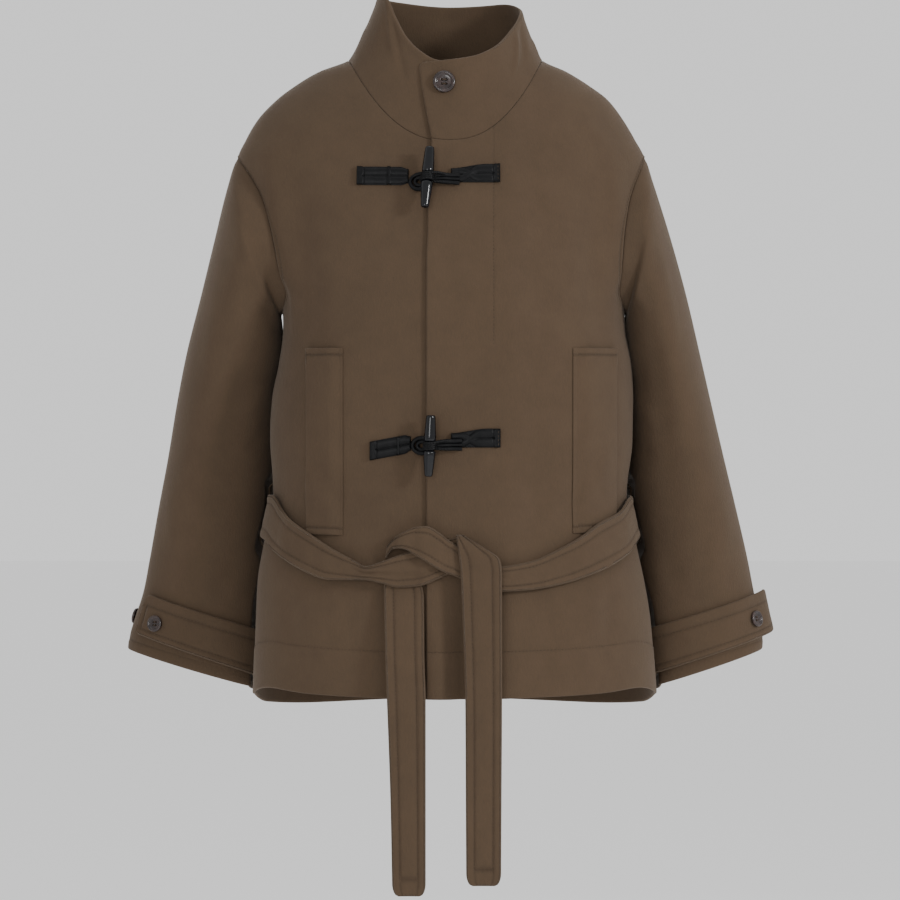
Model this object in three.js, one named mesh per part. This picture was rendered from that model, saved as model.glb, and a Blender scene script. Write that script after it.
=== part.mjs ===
import * as THREE from "three";

// Short wool duffle coat, filled out as if worn but empty, in millimetres.
// +Z is up, the front faces -Y and the coat's own left is +X.
// The origin lies midway between the neck ends of the two shoulder seams.

// Driving dimensions
const cloth = 3; // double-faced wool coating
const seamGap = 0.3; // between two sewn pieces
const rest = 0.8; // between a panel and what is sewn onto it
const lap = 3.8; // how far the left front is lifted where it laps over the right one
const lapOver = 25; // the left front's edge, past the centre
const lapOverNeck = 20; // and at the neck seam
const lapUnder = 44; // the right front's hidden edge, past the centre
const lapEnd = 58; // where the lifted stretch of the left front ends
const lapFade = 95; // and where it lies flat again
const bridge = 14; // what crosses the left front's edge slopes back over this width
const neckSide = 6; // height of the shoulder seam's end at the neck
const neckFront = -90; // height of the neck seam at the centre front
const neckBack = 9; // and at the centre back
const neckBend = 2.35; // how sharply the front neck seam turns up at the sides
const hemSide = -690; // height of the hem at the side seams
const hemBlend = 100; // the hem's waves fade out over this height
const armholeMiddle = -186;
const armholeHalf = 86; // half of the armhole's height
const armholeReach = 28.65; // degrees that the armhole reaches round the body, each way
const straightBelow = -400; // rows of cloth lie level below this height
const sleeveRoom = 3; // between a sleeve and the body that it lies against
const beltRoom = 10; // more of it where the belt and its loops lie between them
const beltMiddle = -494; // height of the belt at the sides
const beltReach = 54; // its room is felt this far above and below, and full 20 mm further in
const tabRoom = 5.5; // and where the cuff's tab does
const tabFrom = 8.6; // ring of the sleeve at which the tab's room begins
const beltThick = 4; // two layers of cloth
const trimThick = 2.6; // stitched strap leather
const weltThick = 4;
const tabThick = 4;
const cordThick = 3.2;

const DEG = Math.PI / 180;
const frontColumns = 13; // panels of the mesh across each front
const backColumns = 18;
const up = new THREE.Vector3(0, 0, 1);

// Level sections of the body: half widths of its left and right, depths of its front and back,
// and how square the section is (2 is an ellipse)
const torsoSections = [
  { z: 16, left: 97, right: 104, front: 52, back: 68, square: 2.0 },
  { z: 6, left: 102, right: 112, front: 56, back: 73, square: 2.0 },
  { z: -7, left: 129, right: 145, front: 63, back: 79, square: 2.02 },
  { z: -24, left: 156, right: 173, front: 71, back: 88, square: 2.05 },
  { z: -37, left: 173, right: 190, front: 77, back: 96, square: 2.1 },
  { z: -59, left: 190, right: 211, front: 86, back: 106, square: 2.15 },
  { z: -81, left: 203, right: 224, front: 94, back: 114, square: 2.2 },
  { z: -103, left: 214, right: 233, front: 101, back: 120, square: 2.2 },
  { z: -120, left: 216, right: 230, front: 107, back: 124, square: 2.22 },
  { z: -150, left: 214, right: 222, front: 116, back: 128, square: 2.25 },
  { z: -195, left: 207, right: 210, front: 126, back: 131, square: 2.3 },
  { z: -232, left: 198, right: 196, front: 134, back: 131, square: 2.4 },
  { z: -257, left: 191, right: 184, front: 138, back: 130, square: 2.5 },
  { z: -290, left: 192, right: 183, front: 140, back: 126, square: 2.5 },
  { z: -328, left: 198, right: 187, front: 140, back: 123, square: 2.5 },
  { z: -366, left: 200, right: 194, front: 140, back: 120, square: 2.5 },
  { z: -410, left: 200, right: 197, front: 138, back: 117, square: 2.5 },
  { z: -470, left: 194, right: 194, front: 134, back: 116, square: 2.52 },
  { z: -528, left: 205, right: 205, front: 138, back: 123, square: 2.55 },
  { z: -565, left: 213, right: 211, front: 141, back: 128, square: 2.6 },
  { z: -609, left: 220, right: 213, front: 144, back: 132, square: 2.6 },
  { z: -710, left: 228, right: 217, front: 147, back: 134, square: 2.6 },
];

// The hem's height round the body; turn is in degrees from the centre front
const hemLine = [
  { turn: 0, z: -687 },
  { turn: 40, z: -682 },
  { turn: 60, z: -678 },
  { turn: 90, z: -690 },
  { turn: 112, z: -703 },
  { turn: 140, z: -707 },
  { turn: 180, z: -703 },
];

// Broad folds of the body: ridges are positive, troughs negative. turn and wide are in degrees,
// lean is in degrees for each 100 mm down.
const torsoFolds = [
  { turn: 57, z: -190, tall: 75, wide: 7, deep: 5, lean: 5 },
  { turn: 46, z: -200, tall: 80, wide: 7, deep: -3.5, lean: 5 },
  { turn: -59, z: -190, tall: 75, wide: 7, deep: 5, lean: -3 },
  { turn: -47, z: -200, tall: 80, wide: 7, deep: -3.5, lean: -3 },
  { turn: 124, z: -210, tall: 90, wide: 8, deep: 5, lean: -5 },
  { turn: 136, z: -220, tall: 90, wide: 8, deep: -3.5, lean: -5 },
  { turn: -123, z: -210, tall: 90, wide: 8, deep: 5, lean: 5 },
  { turn: -135, z: -220, tall: 90, wide: 8, deep: -3.5, lean: 5 },
  { turn: 150, z: -560, tall: 60, wide: 10, deep: 5, lean: 6 },
  { turn: -152, z: -575, tall: 65, wide: 11, deep: 5, lean: -6 },
  { turn: 172, z: -590, tall: 70, wide: 9, deep: -4, lean: 4 },
  { turn: 168, z: -410, tall: 50, wide: 13, deep: 4, lean: -4 },
  { turn: -166, z: -400, tall: 50, wide: 13, deep: 4, lean: 4 },
];

// Rings of the sleeves below the armhole. The outer and the inner point of each give its tilt,
// y its middle and deep its half depth. Where a ring would enter the body, it lies against it.
const sleeveRings = [
  { outLeft: 222, outRight: 242, outZ: -125, inLeft: 195, inRight: 190, inZ: -277, y: 0, deep: 70 },
  { outLeft: 229, outRight: 248, outZ: -146, inLeft: 194, inRight: 188, inZ: -282, y: 3, deep: 74 },
  { outLeft: 243, outRight: 259, outZ: -189, inLeft: 190, inRight: 184, inZ: -292, y: 12, deep: 76 },
  { outLeft: 261, outRight: 275, outZ: -252, inLeft: 190, inRight: 183, inZ: -314, y: 21, deep: 76 },
  { outLeft: 277, outRight: 292, outZ: -318, inLeft: 196, inRight: 189, inZ: -348, y: 28, deep: 73 },
  { outLeft: 290, outRight: 303, outZ: -372, inLeft: 197, inRight: 192, inZ: -390, y: 36, deep: 69 },
  { outLeft: 304, outRight: 313, outZ: -430, inLeft: 196, inRight: 194, inZ: -442, y: 42, deep: 64 },
  { outLeft: 318, outRight: 324, outZ: -487, inLeft: 200, inRight: 199, inZ: -502, y: 46, deep: 60 },
  { outLeft: 331, outRight: 334, outZ: -543, inLeft: 204, inRight: 202, inZ: -568, y: 48, deep: 55 },
  { outLeft: 338, outRight: 341, outZ: -579, inLeft: 206, inRight: 203, inZ: -612, y: 49, deep: 51 },
  { outLeft: 344, outRight: 350, outZ: -607, inLeft: 208, inRight: 204, inZ: -643, y: 50, deep: 49 },
  { outLeft: 348, outRight: 356, outZ: -627, inLeft: 210, inRight: 205, inZ: -669, y: 50, deep: 47 },
  { outLeft: 347, outRight: 358, outZ: -643, inLeft: 211, inRight: 206, inZ: -688, y: 50, deep: 46 },
];

// Folds of a sleeve; ring counts from the armhole, turn is in degrees from the outer line to the
// front, deep is along the ring's plane
const sleeveFolds = [
  { ring: 3.5, long: 2.2, turn: 78, wide: 20, deep: 3.5 },
  { ring: 6, long: 2.5, turn: 105, wide: 22, deep: -4 },
  { ring: 7.5, long: 1.8, turn: 60, wide: 20, deep: 3 },
  { ring: 4, long: 2, turn: 250, wide: 22, deep: 4 },
  { ring: 6.5, long: 2, turn: 285, wide: 22, deep: -4 },
];

// Top edge of the collar, from its lapping end round the left, the back and the right
const collarTop = [
  { turn: -15, z: -3 },
  { turn: 0, z: -1 },
  { turn: 17, z: 3 },
  { turn: 33, z: 12 },
  { turn: 60, z: 37 },
  { turn: 90, z: 60 },
  { turn: 135, z: 73 },
  { turn: 180, z: 72 },
  { turn: 225, z: 75 },
  { turn: 265, z: 76 },
  { turn: 298, z: 70 },
  { turn: 310, z: 49 },
  { turn: 323, z: 25 },
  { turn: 335, z: 10 },
  { turn: 350, z: -1 },
  { turn: 384, z: -6 },
];
const collarEndTop = 33; // the collar's lapping end, past the centre at its top corner
const collarTopHalf = 79; // half width of the collar's top edge
const collarTopFront = 79;
const collarTopBack = 62;
const collarHollow = 0.8; // below 1, the collar draws in fastest near the neck seam

// The tie belt: its edges' heights at each turn about the body, and how far it stands off.
// Each stretch is one node.
const beltStretches = {
  belt_back: [
    { turn: 100, top: -471, bottom: -516, out: 2 },
    { turn: 125, top: -465, bottom: -510, out: 2 },
    { turn: 150, top: -462, bottom: -507, out: 2 },
    { turn: 180, top: -461, bottom: -506, out: 2 },
    { turn: 210, top: -462, bottom: -507, out: 2 },
    { turn: 235, top: -465, bottom: -510, out: 2 },
    { turn: 260, top: -471, bottom: -516, out: 2 },
  ],
  belt_front_right: [
    { turn: -100, top: -471, bottom: -516, out: 2 },
    { turn: -75, top: -471, bottom: -520, out: 2.5 },
    { turn: -61, top: -487, bottom: -532, out: 3.5 },
    { turn: -53, top: -498, bottom: -540, out: 6 },
    { turn: -41, top: -513, bottom: -553, out: 6.4 },
    { turn: -31, top: -528, bottom: -561, out: 6 },
    { turn: -23, top: -540, bottom: -561, out: 6 },
    { turn: -19, top: -546, bottom: -561, out: 7.6 },
    { turn: -14.5, top: -541, bottom: -564, out: 8 },
    { turn: -9.5, top: -533, bottom: -568.5, out: 7.8 },
    { turn: -5, top: -528, bottom: -567, out: 6 },
    { turn: -2, top: -522, bottom: -561, out: 4 },
    { turn: 0.3, top: -516, bottom: -553, out: 1.4 },
    { turn: 1.4, top: -513.5, bottom: -549, out: 1.4 },
  ],
  belt_front_left: [
    { turn: 100, top: -471, bottom: -516, out: 2 },
    { turn: 77, top: -474, bottom: -521, out: 3 },
    { turn: 68, top: -481, bottom: -527, out: 5 },
    { turn: 60, top: -490, bottom: -536, out: 6.8 },
    { turn: 46, top: -502, bottom: -550, out: 6.8 },
    { turn: 38, top: -514, bottom: -557, out: 6.6 },
    { turn: 28, top: -528, bottom: -565, out: 5 },
    { turn: 18, top: -541, bottom: -571, out: 5 },
    { turn: 10, top: -546, bottom: -573, out: 6 },
    { turn: 5, top: -538, bottom: -568, out: 6.2 },
    { turn: 0.8, top: -524, bottom: -557.6, out: 7.5 },
    { turn: -1.4, top: -511, bottom: -550, out: 10.5 },
    { turn: -4, top: -504, bottom: -541, out: 12 },
    { turn: -6.5, top: -505, bottom: -534, out: 13.2 },
    { turn: -9.6, top: -511, bottom: -527, out: 12.6 },
    { turn: -12, top: -517, bottom: -528, out: 8 },
    { turn: -13.9, top: -525, bottom: -538.7, out: 2.5 },
  ],
};

// The two hanging ends of the belt: side edges and the face towards the coat
const beltTails = {
  belt_tail_left: [
    { z: -511.7, from: 6.4, to: 14, y: -146.5 },
    { z: -515, from: 6.6, to: 19, y: -150 },
    { z: -526, from: 8, to: 37, y: -154.2 },
    { z: -538, from: 9.5, to: 53, y: -155.4 },
    { z: -552, from: 11, to: 55, y: -156 },
    { z: -600, from: 13, to: 55, y: -158.5 },
    { z: -690, from: 16, to: 55, y: -161 },
    { z: -790, from: 16.5, to: 54.5, y: -162 },
    { z: -882, from: 17, to: 54, y: -162 },
  ],
  belt_tail_right: [
    { z: -539.2, from: -71, to: -61, y: -139.4 },
    { z: -548, from: -71, to: -50, y: -139.8 },
    { z: -562, from: -70.5, to: -31, y: -141.4 },
    { z: -580, from: -70, to: -27.5, y: -144.6 },
    { z: -640, from: -68.5, to: -27, y: -157 },
    { z: -690, from: -66.5, to: -25.5, y: -161 },
    { z: -790, from: -63, to: -25.5, y: -162 },
    { z: -893, from: -61, to: -25.5, y: -161 },
  ],
};

// patch is the strap with the loop, on the right front, and facing the one that carries the toggle;
// lean is in degrees, rise is how much higher a strap's left end lies
const toggles = [
  {
    level: "upper", x: -24, z: -136, long: 69, lean: 4.4,
    patchFrom: -99.5, patchZ: -129, patchRise: -1, facingZ: -128, facingRise: 2,
  },
  {
    level: "lower", x: -21.4, z: -416.5, long: 65.5, lean: 2.3,
    patchFrom: -85, patchZ: -419, patchRise: 8, facingZ: -409, facingRise: 1,
  },
];
const toggleOut = 12.4; // from the cloth to the toggle's axis
const toggleWaist = 4.4; // radius
const toggleProfile = [
  { at: 0, radius: 0 },
  { at: 0, radius: 3.8 },
  { at: 0.03, radius: 4.6 },
  { at: 0.3, radius: 6.2 },
  { at: 0.41, radius: 6.3 },
  { at: 0.43, radius: toggleWaist },
  { at: 0.57, radius: toggleWaist },
  { at: 0.59, radius: 6.3 },
  { at: 0.7, radius: 6.2 },
  { at: 0.97, radius: 5.1 },
  { at: 1, radius: 4.4 },
  { at: 1, radius: 0 },
];

const buttonProfile = [
  { radius: 0, at: 0 },
  { radius: 0.82, at: 0 },
  { radius: 1, at: 0.35 },
  { radius: 1, at: 0.7 },
  { radius: 0.9, at: 1 },
  { radius: 0.74, at: 0.95 },
  { radius: 0.64, at: 0.62 },
  { radius: 0, at: 0.62 },
];

const wool = { color: 0x58473a, roughness: 0.95, metalness: 0 };
const strapLeather = { color: 0x17171a, roughness: 0.45, metalness: 0 };
const gloss = { color: 0x0c0d11, roughness: 0.12, metalness: 0 };
const horn = { color: 0x2a1d18, roughness: 0.25, metalness: 0 };

const coat = new THREE.Group();

// Reads one column of a table at a key, along a smooth curve that never overshoots its rows.
function read(table, key, at, column) {
  const rising = table[0][key] < table[table.length - 1][key];
  const rows = rising ? table : [...table].reverse();
  const last = rows.length - 1;
  let i = 0;
  while (i < last - 1 && at > rows[i + 1][key]) i++;
  const slope = (k) => {
    if (k < 0 || k >= last) return 0;
    return (rows[k + 1][column] - rows[k][column]) / (rows[k + 1][key] - rows[k][key]);
  };
  const tangent = (k) => {
    if (k === 0) return slope(0);
    if (k === last) return slope(last - 1);
    const before = slope(k - 1);
    const after = slope(k);
    return before * after <= 0 ? 0 : (2 * before * after) / (before + after);
  };
  const span = rows[i + 1][key] - rows[i][key];
  const t = Math.min(1, Math.max(0, (at - rows[i][key]) / span));
  const bend = t * t * (3 - 2 * t);
  const start = rows[i][column] * (1 - bend) + rows[i + 1][column] * bend;
  const leave = (t ** 3 - 2 * t * t + t) * span * tangent(i);
  const arrive = (t ** 3 - t * t) * span * tangent(i + 1);
  return start + leave + arrive;
}

function mix(a, b, t) {
  return a + (b - a) * t;
}

function smooth(t) {
  const c = Math.min(1, Math.max(0, t));
  return c * c * (3 - 2 * c);
}

function power(value, exponent) {
  return Math.sign(value) * Math.abs(value) ** exponent;
}

function halfWidth(z, side) {
  return read(torsoSections, "z", z, side > 0 ? "left" : "right");
}

function foldDepth(turn, z) {
  let sum = 0;
  for (const fold of torsoFolds) {
    const line = fold.turn + (fold.lean * (fold.z - z)) / 100;
    const apart = ((((turn - line + 180) % 360) + 360) % 360) - 180;
    const across = apart / fold.wide;
    const along = (z - fold.z) / fold.tall;
    sum += fold.deep * Math.exp(-across * across - along * along);
  }
  return sum;
}

// A point of the body's outer surface. turn is in degrees from the centre front to the left.
function bodyPoint(turn, z) {
  const side = Math.sin(turn * DEG) < 0 ? -1 : 1;
  const width = halfWidth(z, side);
  const ahead = Math.cos(turn * DEG) > 0;
  const depth = read(torsoSections, "z", z, ahead ? "front" : "back");
  const round = 2 / read(torsoSections, "z", z, "square");
  const x = width * power(Math.sin(turn * DEG), round);
  const y = -depth * power(Math.cos(turn * DEG), round);
  const outward = new THREE.Vector3(x / width ** 2, y / depth ** 2, 0).normalize();
  return new THREE.Vector3(x, y, z).addScaledVector(outward, foldDepth(turn, z));
}

function bodyNormal(turn, z) {
  const along = bodyPoint(turn + 0.5, z).sub(bodyPoint(turn - 0.5, z));
  const rise = bodyPoint(turn, z + 1).sub(bodyPoint(turn, z - 1));
  return along.cross(rise).normalize();
}

// How far the left front is lifted off the right one at x.
function lapLift(x) {
  return lap * (1 - smooth((x - lapEnd) / (lapFade - lapEnd)));
}

// The outermost cloth of the body, moved out by a distance. Past the left front's edge it slopes
// back, as a piece that bridges the edge does.
function outside(turn, z, out) {
  const point = bodyPoint(turn, z);
  const slope = 1 - smooth((-lapOver - point.x) / bridge);
  const lift = Math.cos(turn * DEG) > 0 ? lapLift(point.x) * slope : 0;
  return point.addScaledVector(bodyNormal(turn, z), lift + out);
}

// The turn at which the front of the body has a given x.
function turnAt(x, z) {
  const width = halfWidth(z, x);
  const square = read(torsoSections, "z", z, "square");
  const share = Math.min(1, Math.abs(x) / width);
  return (Math.sign(x) * Math.asin(share ** (square / 2))) / DEG;
}

function neckHeight(turn) {
  const share = Math.abs(Math.sin(turn * DEG)) ** neckBend;
  return mix(Math.cos(turn * DEG) > 0 ? neckFront : neckBack, neckSide, share);
}

// The turn about the body at which the neck seam, at a turn about the neck, meets the cloth.
function neckTurn(turn) {
  const side = Math.sin(turn * DEG) < 0 ? -1 : 1;
  const x = halfWidth(neckSide, side) * Math.sin(turn * DEG);
  const front = turnAt(x, neckHeight(turn));
  return Math.cos(turn * DEG) > 0 ? front : side * 180 - front;
}

// The wall of both the panel and the collar runs this way at the neck seam.
function neckNormal(turn) {
  return new THREE.Vector3(Math.sin(turn * DEG), -Math.cos(turn * DEG), 0.7).normalize();
}

// The wall of both the panel and the sleeve runs this way round the armhole.
function armholeNormal(side, round) {
  const lean = 0.7 * Math.cos((round * DEG) / 2) ** 2;
  return new THREE.Vector3(side * lean, -Math.sin(round * DEG), Math.cos(round * DEG)).normalize();
}

// Makes a closed wall between two grids of points, outer and inner. A closed grid joins its last
// column to its first; the sides named in inset stop half a seam gap short of the seam.
function wall(outer, inner, { closed = false, inset = [] } = {}) {
  const rows = outer.length;
  const columns = outer[0].length;
  const shift = (grid, r, c, toRow, toColumn) => {
    const way = grid[toRow][toColumn].clone().sub(grid[r][c]).normalize();
    grid[r][c] = grid[r][c].clone().addScaledVector(way, seamGap / 2);
  };
  for (const grid of [outer, inner]) {
    for (let c = 0; c < columns; c++) {
      if (inset.includes("first")) shift(grid, 0, c, 1, c);
      if (inset.includes("last")) shift(grid, rows - 1, c, rows - 2, c);
    }
    for (let r = 0; r < rows; r++) {
      if (inset.includes("start")) shift(grid, r, 0, r, 1);
      if (inset.includes("end")) shift(grid, r, columns - 1, r, columns - 2);
    }
  }
  const points = [...outer.flat(), ...inner.flat()];
  const faces = [];
  const back = rows * columns;
  const at = (r, c) => r * columns + (c % columns);
  const quad = (a, b, c, d) => faces.push(a, b, c, a, c, d);
  const steps = closed ? columns : columns - 1;
  for (let c = 0; c < steps; c++) {
    for (let r = 0; r < rows - 1; r++) {
      quad(at(r, c), at(r, c + 1), at(r + 1, c + 1), at(r + 1, c));
      quad(back + at(r, c), back + at(r + 1, c), back + at(r + 1, c + 1), back + at(r, c + 1));
    }
    quad(at(0, c), back + at(0, c), back + at(0, c + 1), at(0, c + 1));
    quad(at(rows - 1, c), at(rows - 1, c + 1), back + at(rows - 1, c + 1), back + at(rows - 1, c));
  }
  for (let r = 0; r < rows - 1 && !closed; r++) {
    const e = columns - 1;
    quad(at(r, 0), at(r + 1, 0), back + at(r + 1, 0), back + at(r, 0));
    quad(at(r, e), back + at(r, e), back + at(r + 1, e), at(r + 1, e));
  }
  return solid(points, faces);
}

// Turns points and faces into a geometry whose faces point out.
function solid(points, faces) {
  let volume = 0;
  for (let i = 0; i < faces.length; i += 3) {
    const [a, b, c] = [points[faces[i]], points[faces[i + 1]], points[faces[i + 2]]];
    volume += a.dot(b.clone().cross(c));
  }
  if (volume < 0) faces.reverse();
  const geometry = new THREE.BufferGeometry().setFromPoints(points);
  geometry.setIndex(faces);
  geometry.computeVertexNormals();
  return geometry;
}

function add(name, geometry, look) {
  const mesh = new THREE.Mesh(geometry, new THREE.MeshStandardMaterial(look));
  mesh.name = name;
  coat.add(mesh);
  return mesh;
}

// Ends of a front's or back's rows, from the hem up the side seam, round the armhole and up the
// shoulder seam. reach is the turn away from the side, height the row's level there; even rises
// steadily beside the armhole too, for the row's middle.
function rowEnds() {
  const underarm = armholeMiddle - armholeHalf;
  const sideHeights = [hemSide, -650, -605, -565, -530, -500, -472, -440, -400, -358, -312];
  const armholeRows = 12;
  const shoulderHeights = [-82, -60, -40, -22, -7, neckSide];
  const ends = sideHeights.map((height) => ({ reach: 0, height, even: height, round: null }));
  for (let i = 0; i <= armholeRows; i++) {
    const round = 180 * (1 - i / armholeRows);
    const height = armholeMiddle + armholeHalf * Math.cos(round * DEG);
    const even = underarm + (2 * armholeHalf * i) / armholeRows;
    ends.push({ reach: armholeReach * Math.sin(round * DEG), height, even, round });
  }
  for (const height of shoulderHeights) ends.push({ reach: 0, height, even: height, round: null });
  return ends;
}

// How far up a row has risen from its middle to its side, at a turn from the centre that spans
// sideTurn at the side.
function riseShare(turn, sideTurn) {
  return (Math.abs(Math.sin(turn * DEG)) / Math.sin(sideTurn * DEG)) ** neckBend;
}

// Height of a row at the centre of the front or back, from its height at the side.
function centreHeight(height, neck) {
  if (height < straightBelow) return height;
  const share = (height - straightBelow) / (neckSide - straightBelow);
  return mix(straightBelow, neck, share);
}

function hemWave(turn, z) {
  const fade = smooth((hemSide + hemBlend - z) / hemBlend);
  return (read(hemLine, "turn", Math.abs(turn), "z") - hemSide) * fade;
}

// How far a front's edge lies past the centre, at a height.
function frontEdge(side, z) {
  if (side < 0) return lapUnder;
  return mix(lapOverNeck, lapOver, smooth((neckFront - z) / 70));
}

// The same at the neck seam, in degrees about the neck.
function neckEnd(side) {
  return Math.asin(frontEdge(side, neckFront) / halfWidth(neckSide, -side)) / DEG;
}

// Outer and inner points of a row of the front, from its edge to the side.
function frontRow(end, side, columns, lifted) {
  const sideTurn = 90 - end.reach;
  const middle = centreHeight(end.even, neckFront);
  const edge = frontEdge(side, middle);
  const near = smooth((end.height + 150) / 156);
  const bodyEdge = (Math.abs(turnAt(-side * edge, middle)) * 90) / sideTurn;
  const neckEdge = neckEnd(side);
  const atNeck = end.height === neckSide;
  const row = { outer: [], inner: [] };
  for (let c = 0; c <= columns; c++) {
    const atBody = mix(-bodyEdge, 90, c / columns);
    const aboutNeck = mix(-neckEdge, 90, c / columns);
    const share = mix(atBody, aboutNeck, near);
    const rise = mix(riseShare((atBody * sideTurn) / 90, sideTurn), riseShare(aboutNeck, 90), near);
    const level = mix(middle, end.height, rise);
    const blended = mix(atBody, side * neckTurn(side * aboutNeck), near);
    const turn = (side * blended * sideTurn) / 90;
    const z = level + hemWave(turn, level);
    const point = bodyPoint(turn, z);
    let normal = bodyNormal(turn, z);
    if (lifted) point.addScaledVector(normal, lapLift(point.x));
    if (atNeck) normal = neckNormal(side * share);
    if (c === columns && end.round !== null) normal = armholeNormal(side, end.round);
    row.outer.push(point);
    row.inner.push(point.clone().addScaledVector(normal, -cloth));
  }
  return row;
}

// Outer and inner points of a row of the back, from the right side to the left.
function backRow(end, columns) {
  const sideTurn = 90 + end.reach;
  const middle = centreHeight(end.even, neckBack);
  const near = smooth((end.height + 150) / 156);
  const atNeck = end.height === neckSide;
  const row = { outer: [], inner: [] };
  for (let c = 0; c <= columns; c++) {
    const share = mix(90, 270, c / columns);
    const side = share > 180 ? -1 : 1;
    const away = 180 - Math.abs(180 - share);
    const behind = ((180 - away) * (180 - sideTurn)) / 90;
    const rise = mix(riseShare(behind, 180 - sideTurn), riseShare(away, 90), near);
    const level = mix(middle, end.height, rise);
    const blended = mix(away, side * neckTurn(side * away), near);
    const turn = side * (180 - ((180 - blended) * (180 - sideTurn)) / 90);
    const z = level + hemWave(turn, level);
    const point = bodyPoint(turn, z);
    let normal = bodyNormal(turn, z);
    if (atNeck) normal = neckNormal(side * away);
    const last = c === 0 || c === columns;
    if (last && end.round !== null) normal = armholeNormal(side, 360 - end.round);
    row.outer.push(point);
    row.inner.push(point.clone().addScaledVector(normal, -cloth));
  }
  return row;
}

function addBody() {
  const ends = rowEnds();
  const build = (name, rows) => {
    const outer = rows.map((row) => row.outer);
    const inner = rows.map((row) => row.inner);
    const inset = name === "back" ? ["start", "end", "last"] : ["end", "last"];
    add(name, wall(outer, inner, { inset }), wool);
  };
  build("front_left", ends.map((end) => frontRow(end, 1, frontColumns, true)));
  build("front_right", ends.map((end) => frontRow(end, -1, frontColumns, false)));
  build("back", ends.map((end) => backRow(end, backColumns)));
}

// Moves a point of a sleeve clear of the body, the belt at its waist and, at the cuff, the tab
// that lies between the two. near is how close the point may come.
function clearOfBody(point, ring, near) {
  const belt = beltRoom * smooth((beltReach - Math.abs(point.z - beltMiddle)) / 20);
  const tab = tabRoom * smooth((ring - tabFrom) / 1.2);
  const width = halfWidth(point.z, point.x);
  const depth = read(torsoSections, "z", point.z, point.y < 0 ? "front" : "back");
  const square = read(torsoSections, "z", point.z, "square");
  const within = (Math.abs(point.x) / width) ** square + (Math.abs(point.y) / depth) ** square;
  const away = near + sleeveRoom + Math.max(belt, tab);
  const scale = (1 + away / Math.hypot(point.x, point.y)) / within ** (1 / square);
  if (scale <= 1) return point;
  const share = smooth((ring - 1) / 2);
  point.x *= mix(1, scale, share);
  point.y *= mix(1, scale, share);
  return point;
}

function sleeveFoldDepth(ring, round) {
  let sum = 0;
  for (const fold of sleeveFolds) {
    const apart = ((((round - fold.turn + 180) % 360) + 360) % 360) - 180;
    const across = apart / fold.wide;
    const along = (ring - fold.ring) / fold.long;
    sum += fold.deep * Math.exp(-across * across - along * along);
  }
  return sum;
}

// A point of a sleeve. ring counts down from the armhole, round is in degrees from the outer line
// to the front, and out moves it along the ring's plane.
function sleevePoint(side, ring, round, out) {
  if (ring === 0) {
    const turn = side * (90 - armholeReach * Math.sin(round * DEG));
    const level = armholeMiddle + armholeHalf * Math.cos(round * DEG);
    return bodyPoint(turn, level).addScaledVector(armholeNormal(side, round), out);
  }
  const rings = sleeveRings.map((row, i) => ({ ...row, ring: i + 1 }));
  const get = (column) => read(rings, "ring", ring, column);
  const hand = side > 0 ? "Left" : "Right";
  const outer = new THREE.Vector3(side * get("out" + hand), get("y"), get("outZ"));
  const inner = new THREE.Vector3(side * get("in" + hand), get("y"), get("inZ"));
  const middle = outer.clone().add(inner).multiplyScalar(0.5);
  const half = outer.clone().sub(inner).multiplyScalar(0.5);
  const across = half.clone().normalize();
  const a = half.length();
  const b = get("deep");
  const cos = Math.cos(round * DEG);
  const sin = Math.sin(round * DEG);
  const normal = across.clone().multiplyScalar(cos / a);
  normal.y -= sin / b;
  normal.normalize();
  const point = middle.addScaledVector(across, a * cos);
  point.y -= b * sin;
  point.addScaledVector(normal, out + sleeveFoldDepth(ring, round));
  return clearOfBody(point, ring, -out);
}

function addSleeve(side, name) {
  const around = 24;
  const rings = [0, 1, 2, 3, 4, 5, 6, 6.5, 7, 7.5, 8, 8.5, 9, 10, 11, 12, 13];
  const grid = (out) =>
    rings.map((ring) => {
      const row = [];
      for (let i = 0; i < around; i++) row.push(sleevePoint(side, ring, (i * 360) / around, out));
      return row;
    });
  add(name, wall(grid(0), grid(-cloth), { closed: true, inset: ["first"] }), wool);
}

// A point of the collar: turn is in degrees about the neck, rise runs from the neck seam to the
// top edge.
function collarPoint(turn, rise, out) {
  const sin = Math.sin(turn * DEG);
  const cos = Math.cos(turn * DEG);
  const folded = Math.atan2(sin, cos) / DEG;
  const lift = turn < 90 ? lapLift(halfWidth(neckSide, cos > 0 ? 1 : -1) * sin) : 0;
  const seamTurn = neckTurn(folded);
  const base = bodyPoint(seamTurn, neckHeight(folded));
  base.addScaledVector(bodyNormal(seamTurn, neckHeight(folded)), lift);
  const topDepth = cos > 0 ? collarTopFront : collarTopBack;
  const top = new THREE.Vector3(
    collarTopHalf * sin,
    -topDepth * cos,
    read(collarTop, "turn", turn, "z"),
  );
  const draw = rise ** collarHollow;
  const point = new THREE.Vector3(
    mix(base.x, top.x, draw),
    mix(base.y, top.y, draw),
    mix(base.z, top.z, rise),
  );
  const level = new THREE.Vector3(sin, -cos, 0);
  const normal = neckNormal(folded).lerp(level, smooth(rise * 4)).normalize();
  return point.addScaledVector(level, lift * draw).addScaledVector(normal, out);
}

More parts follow.
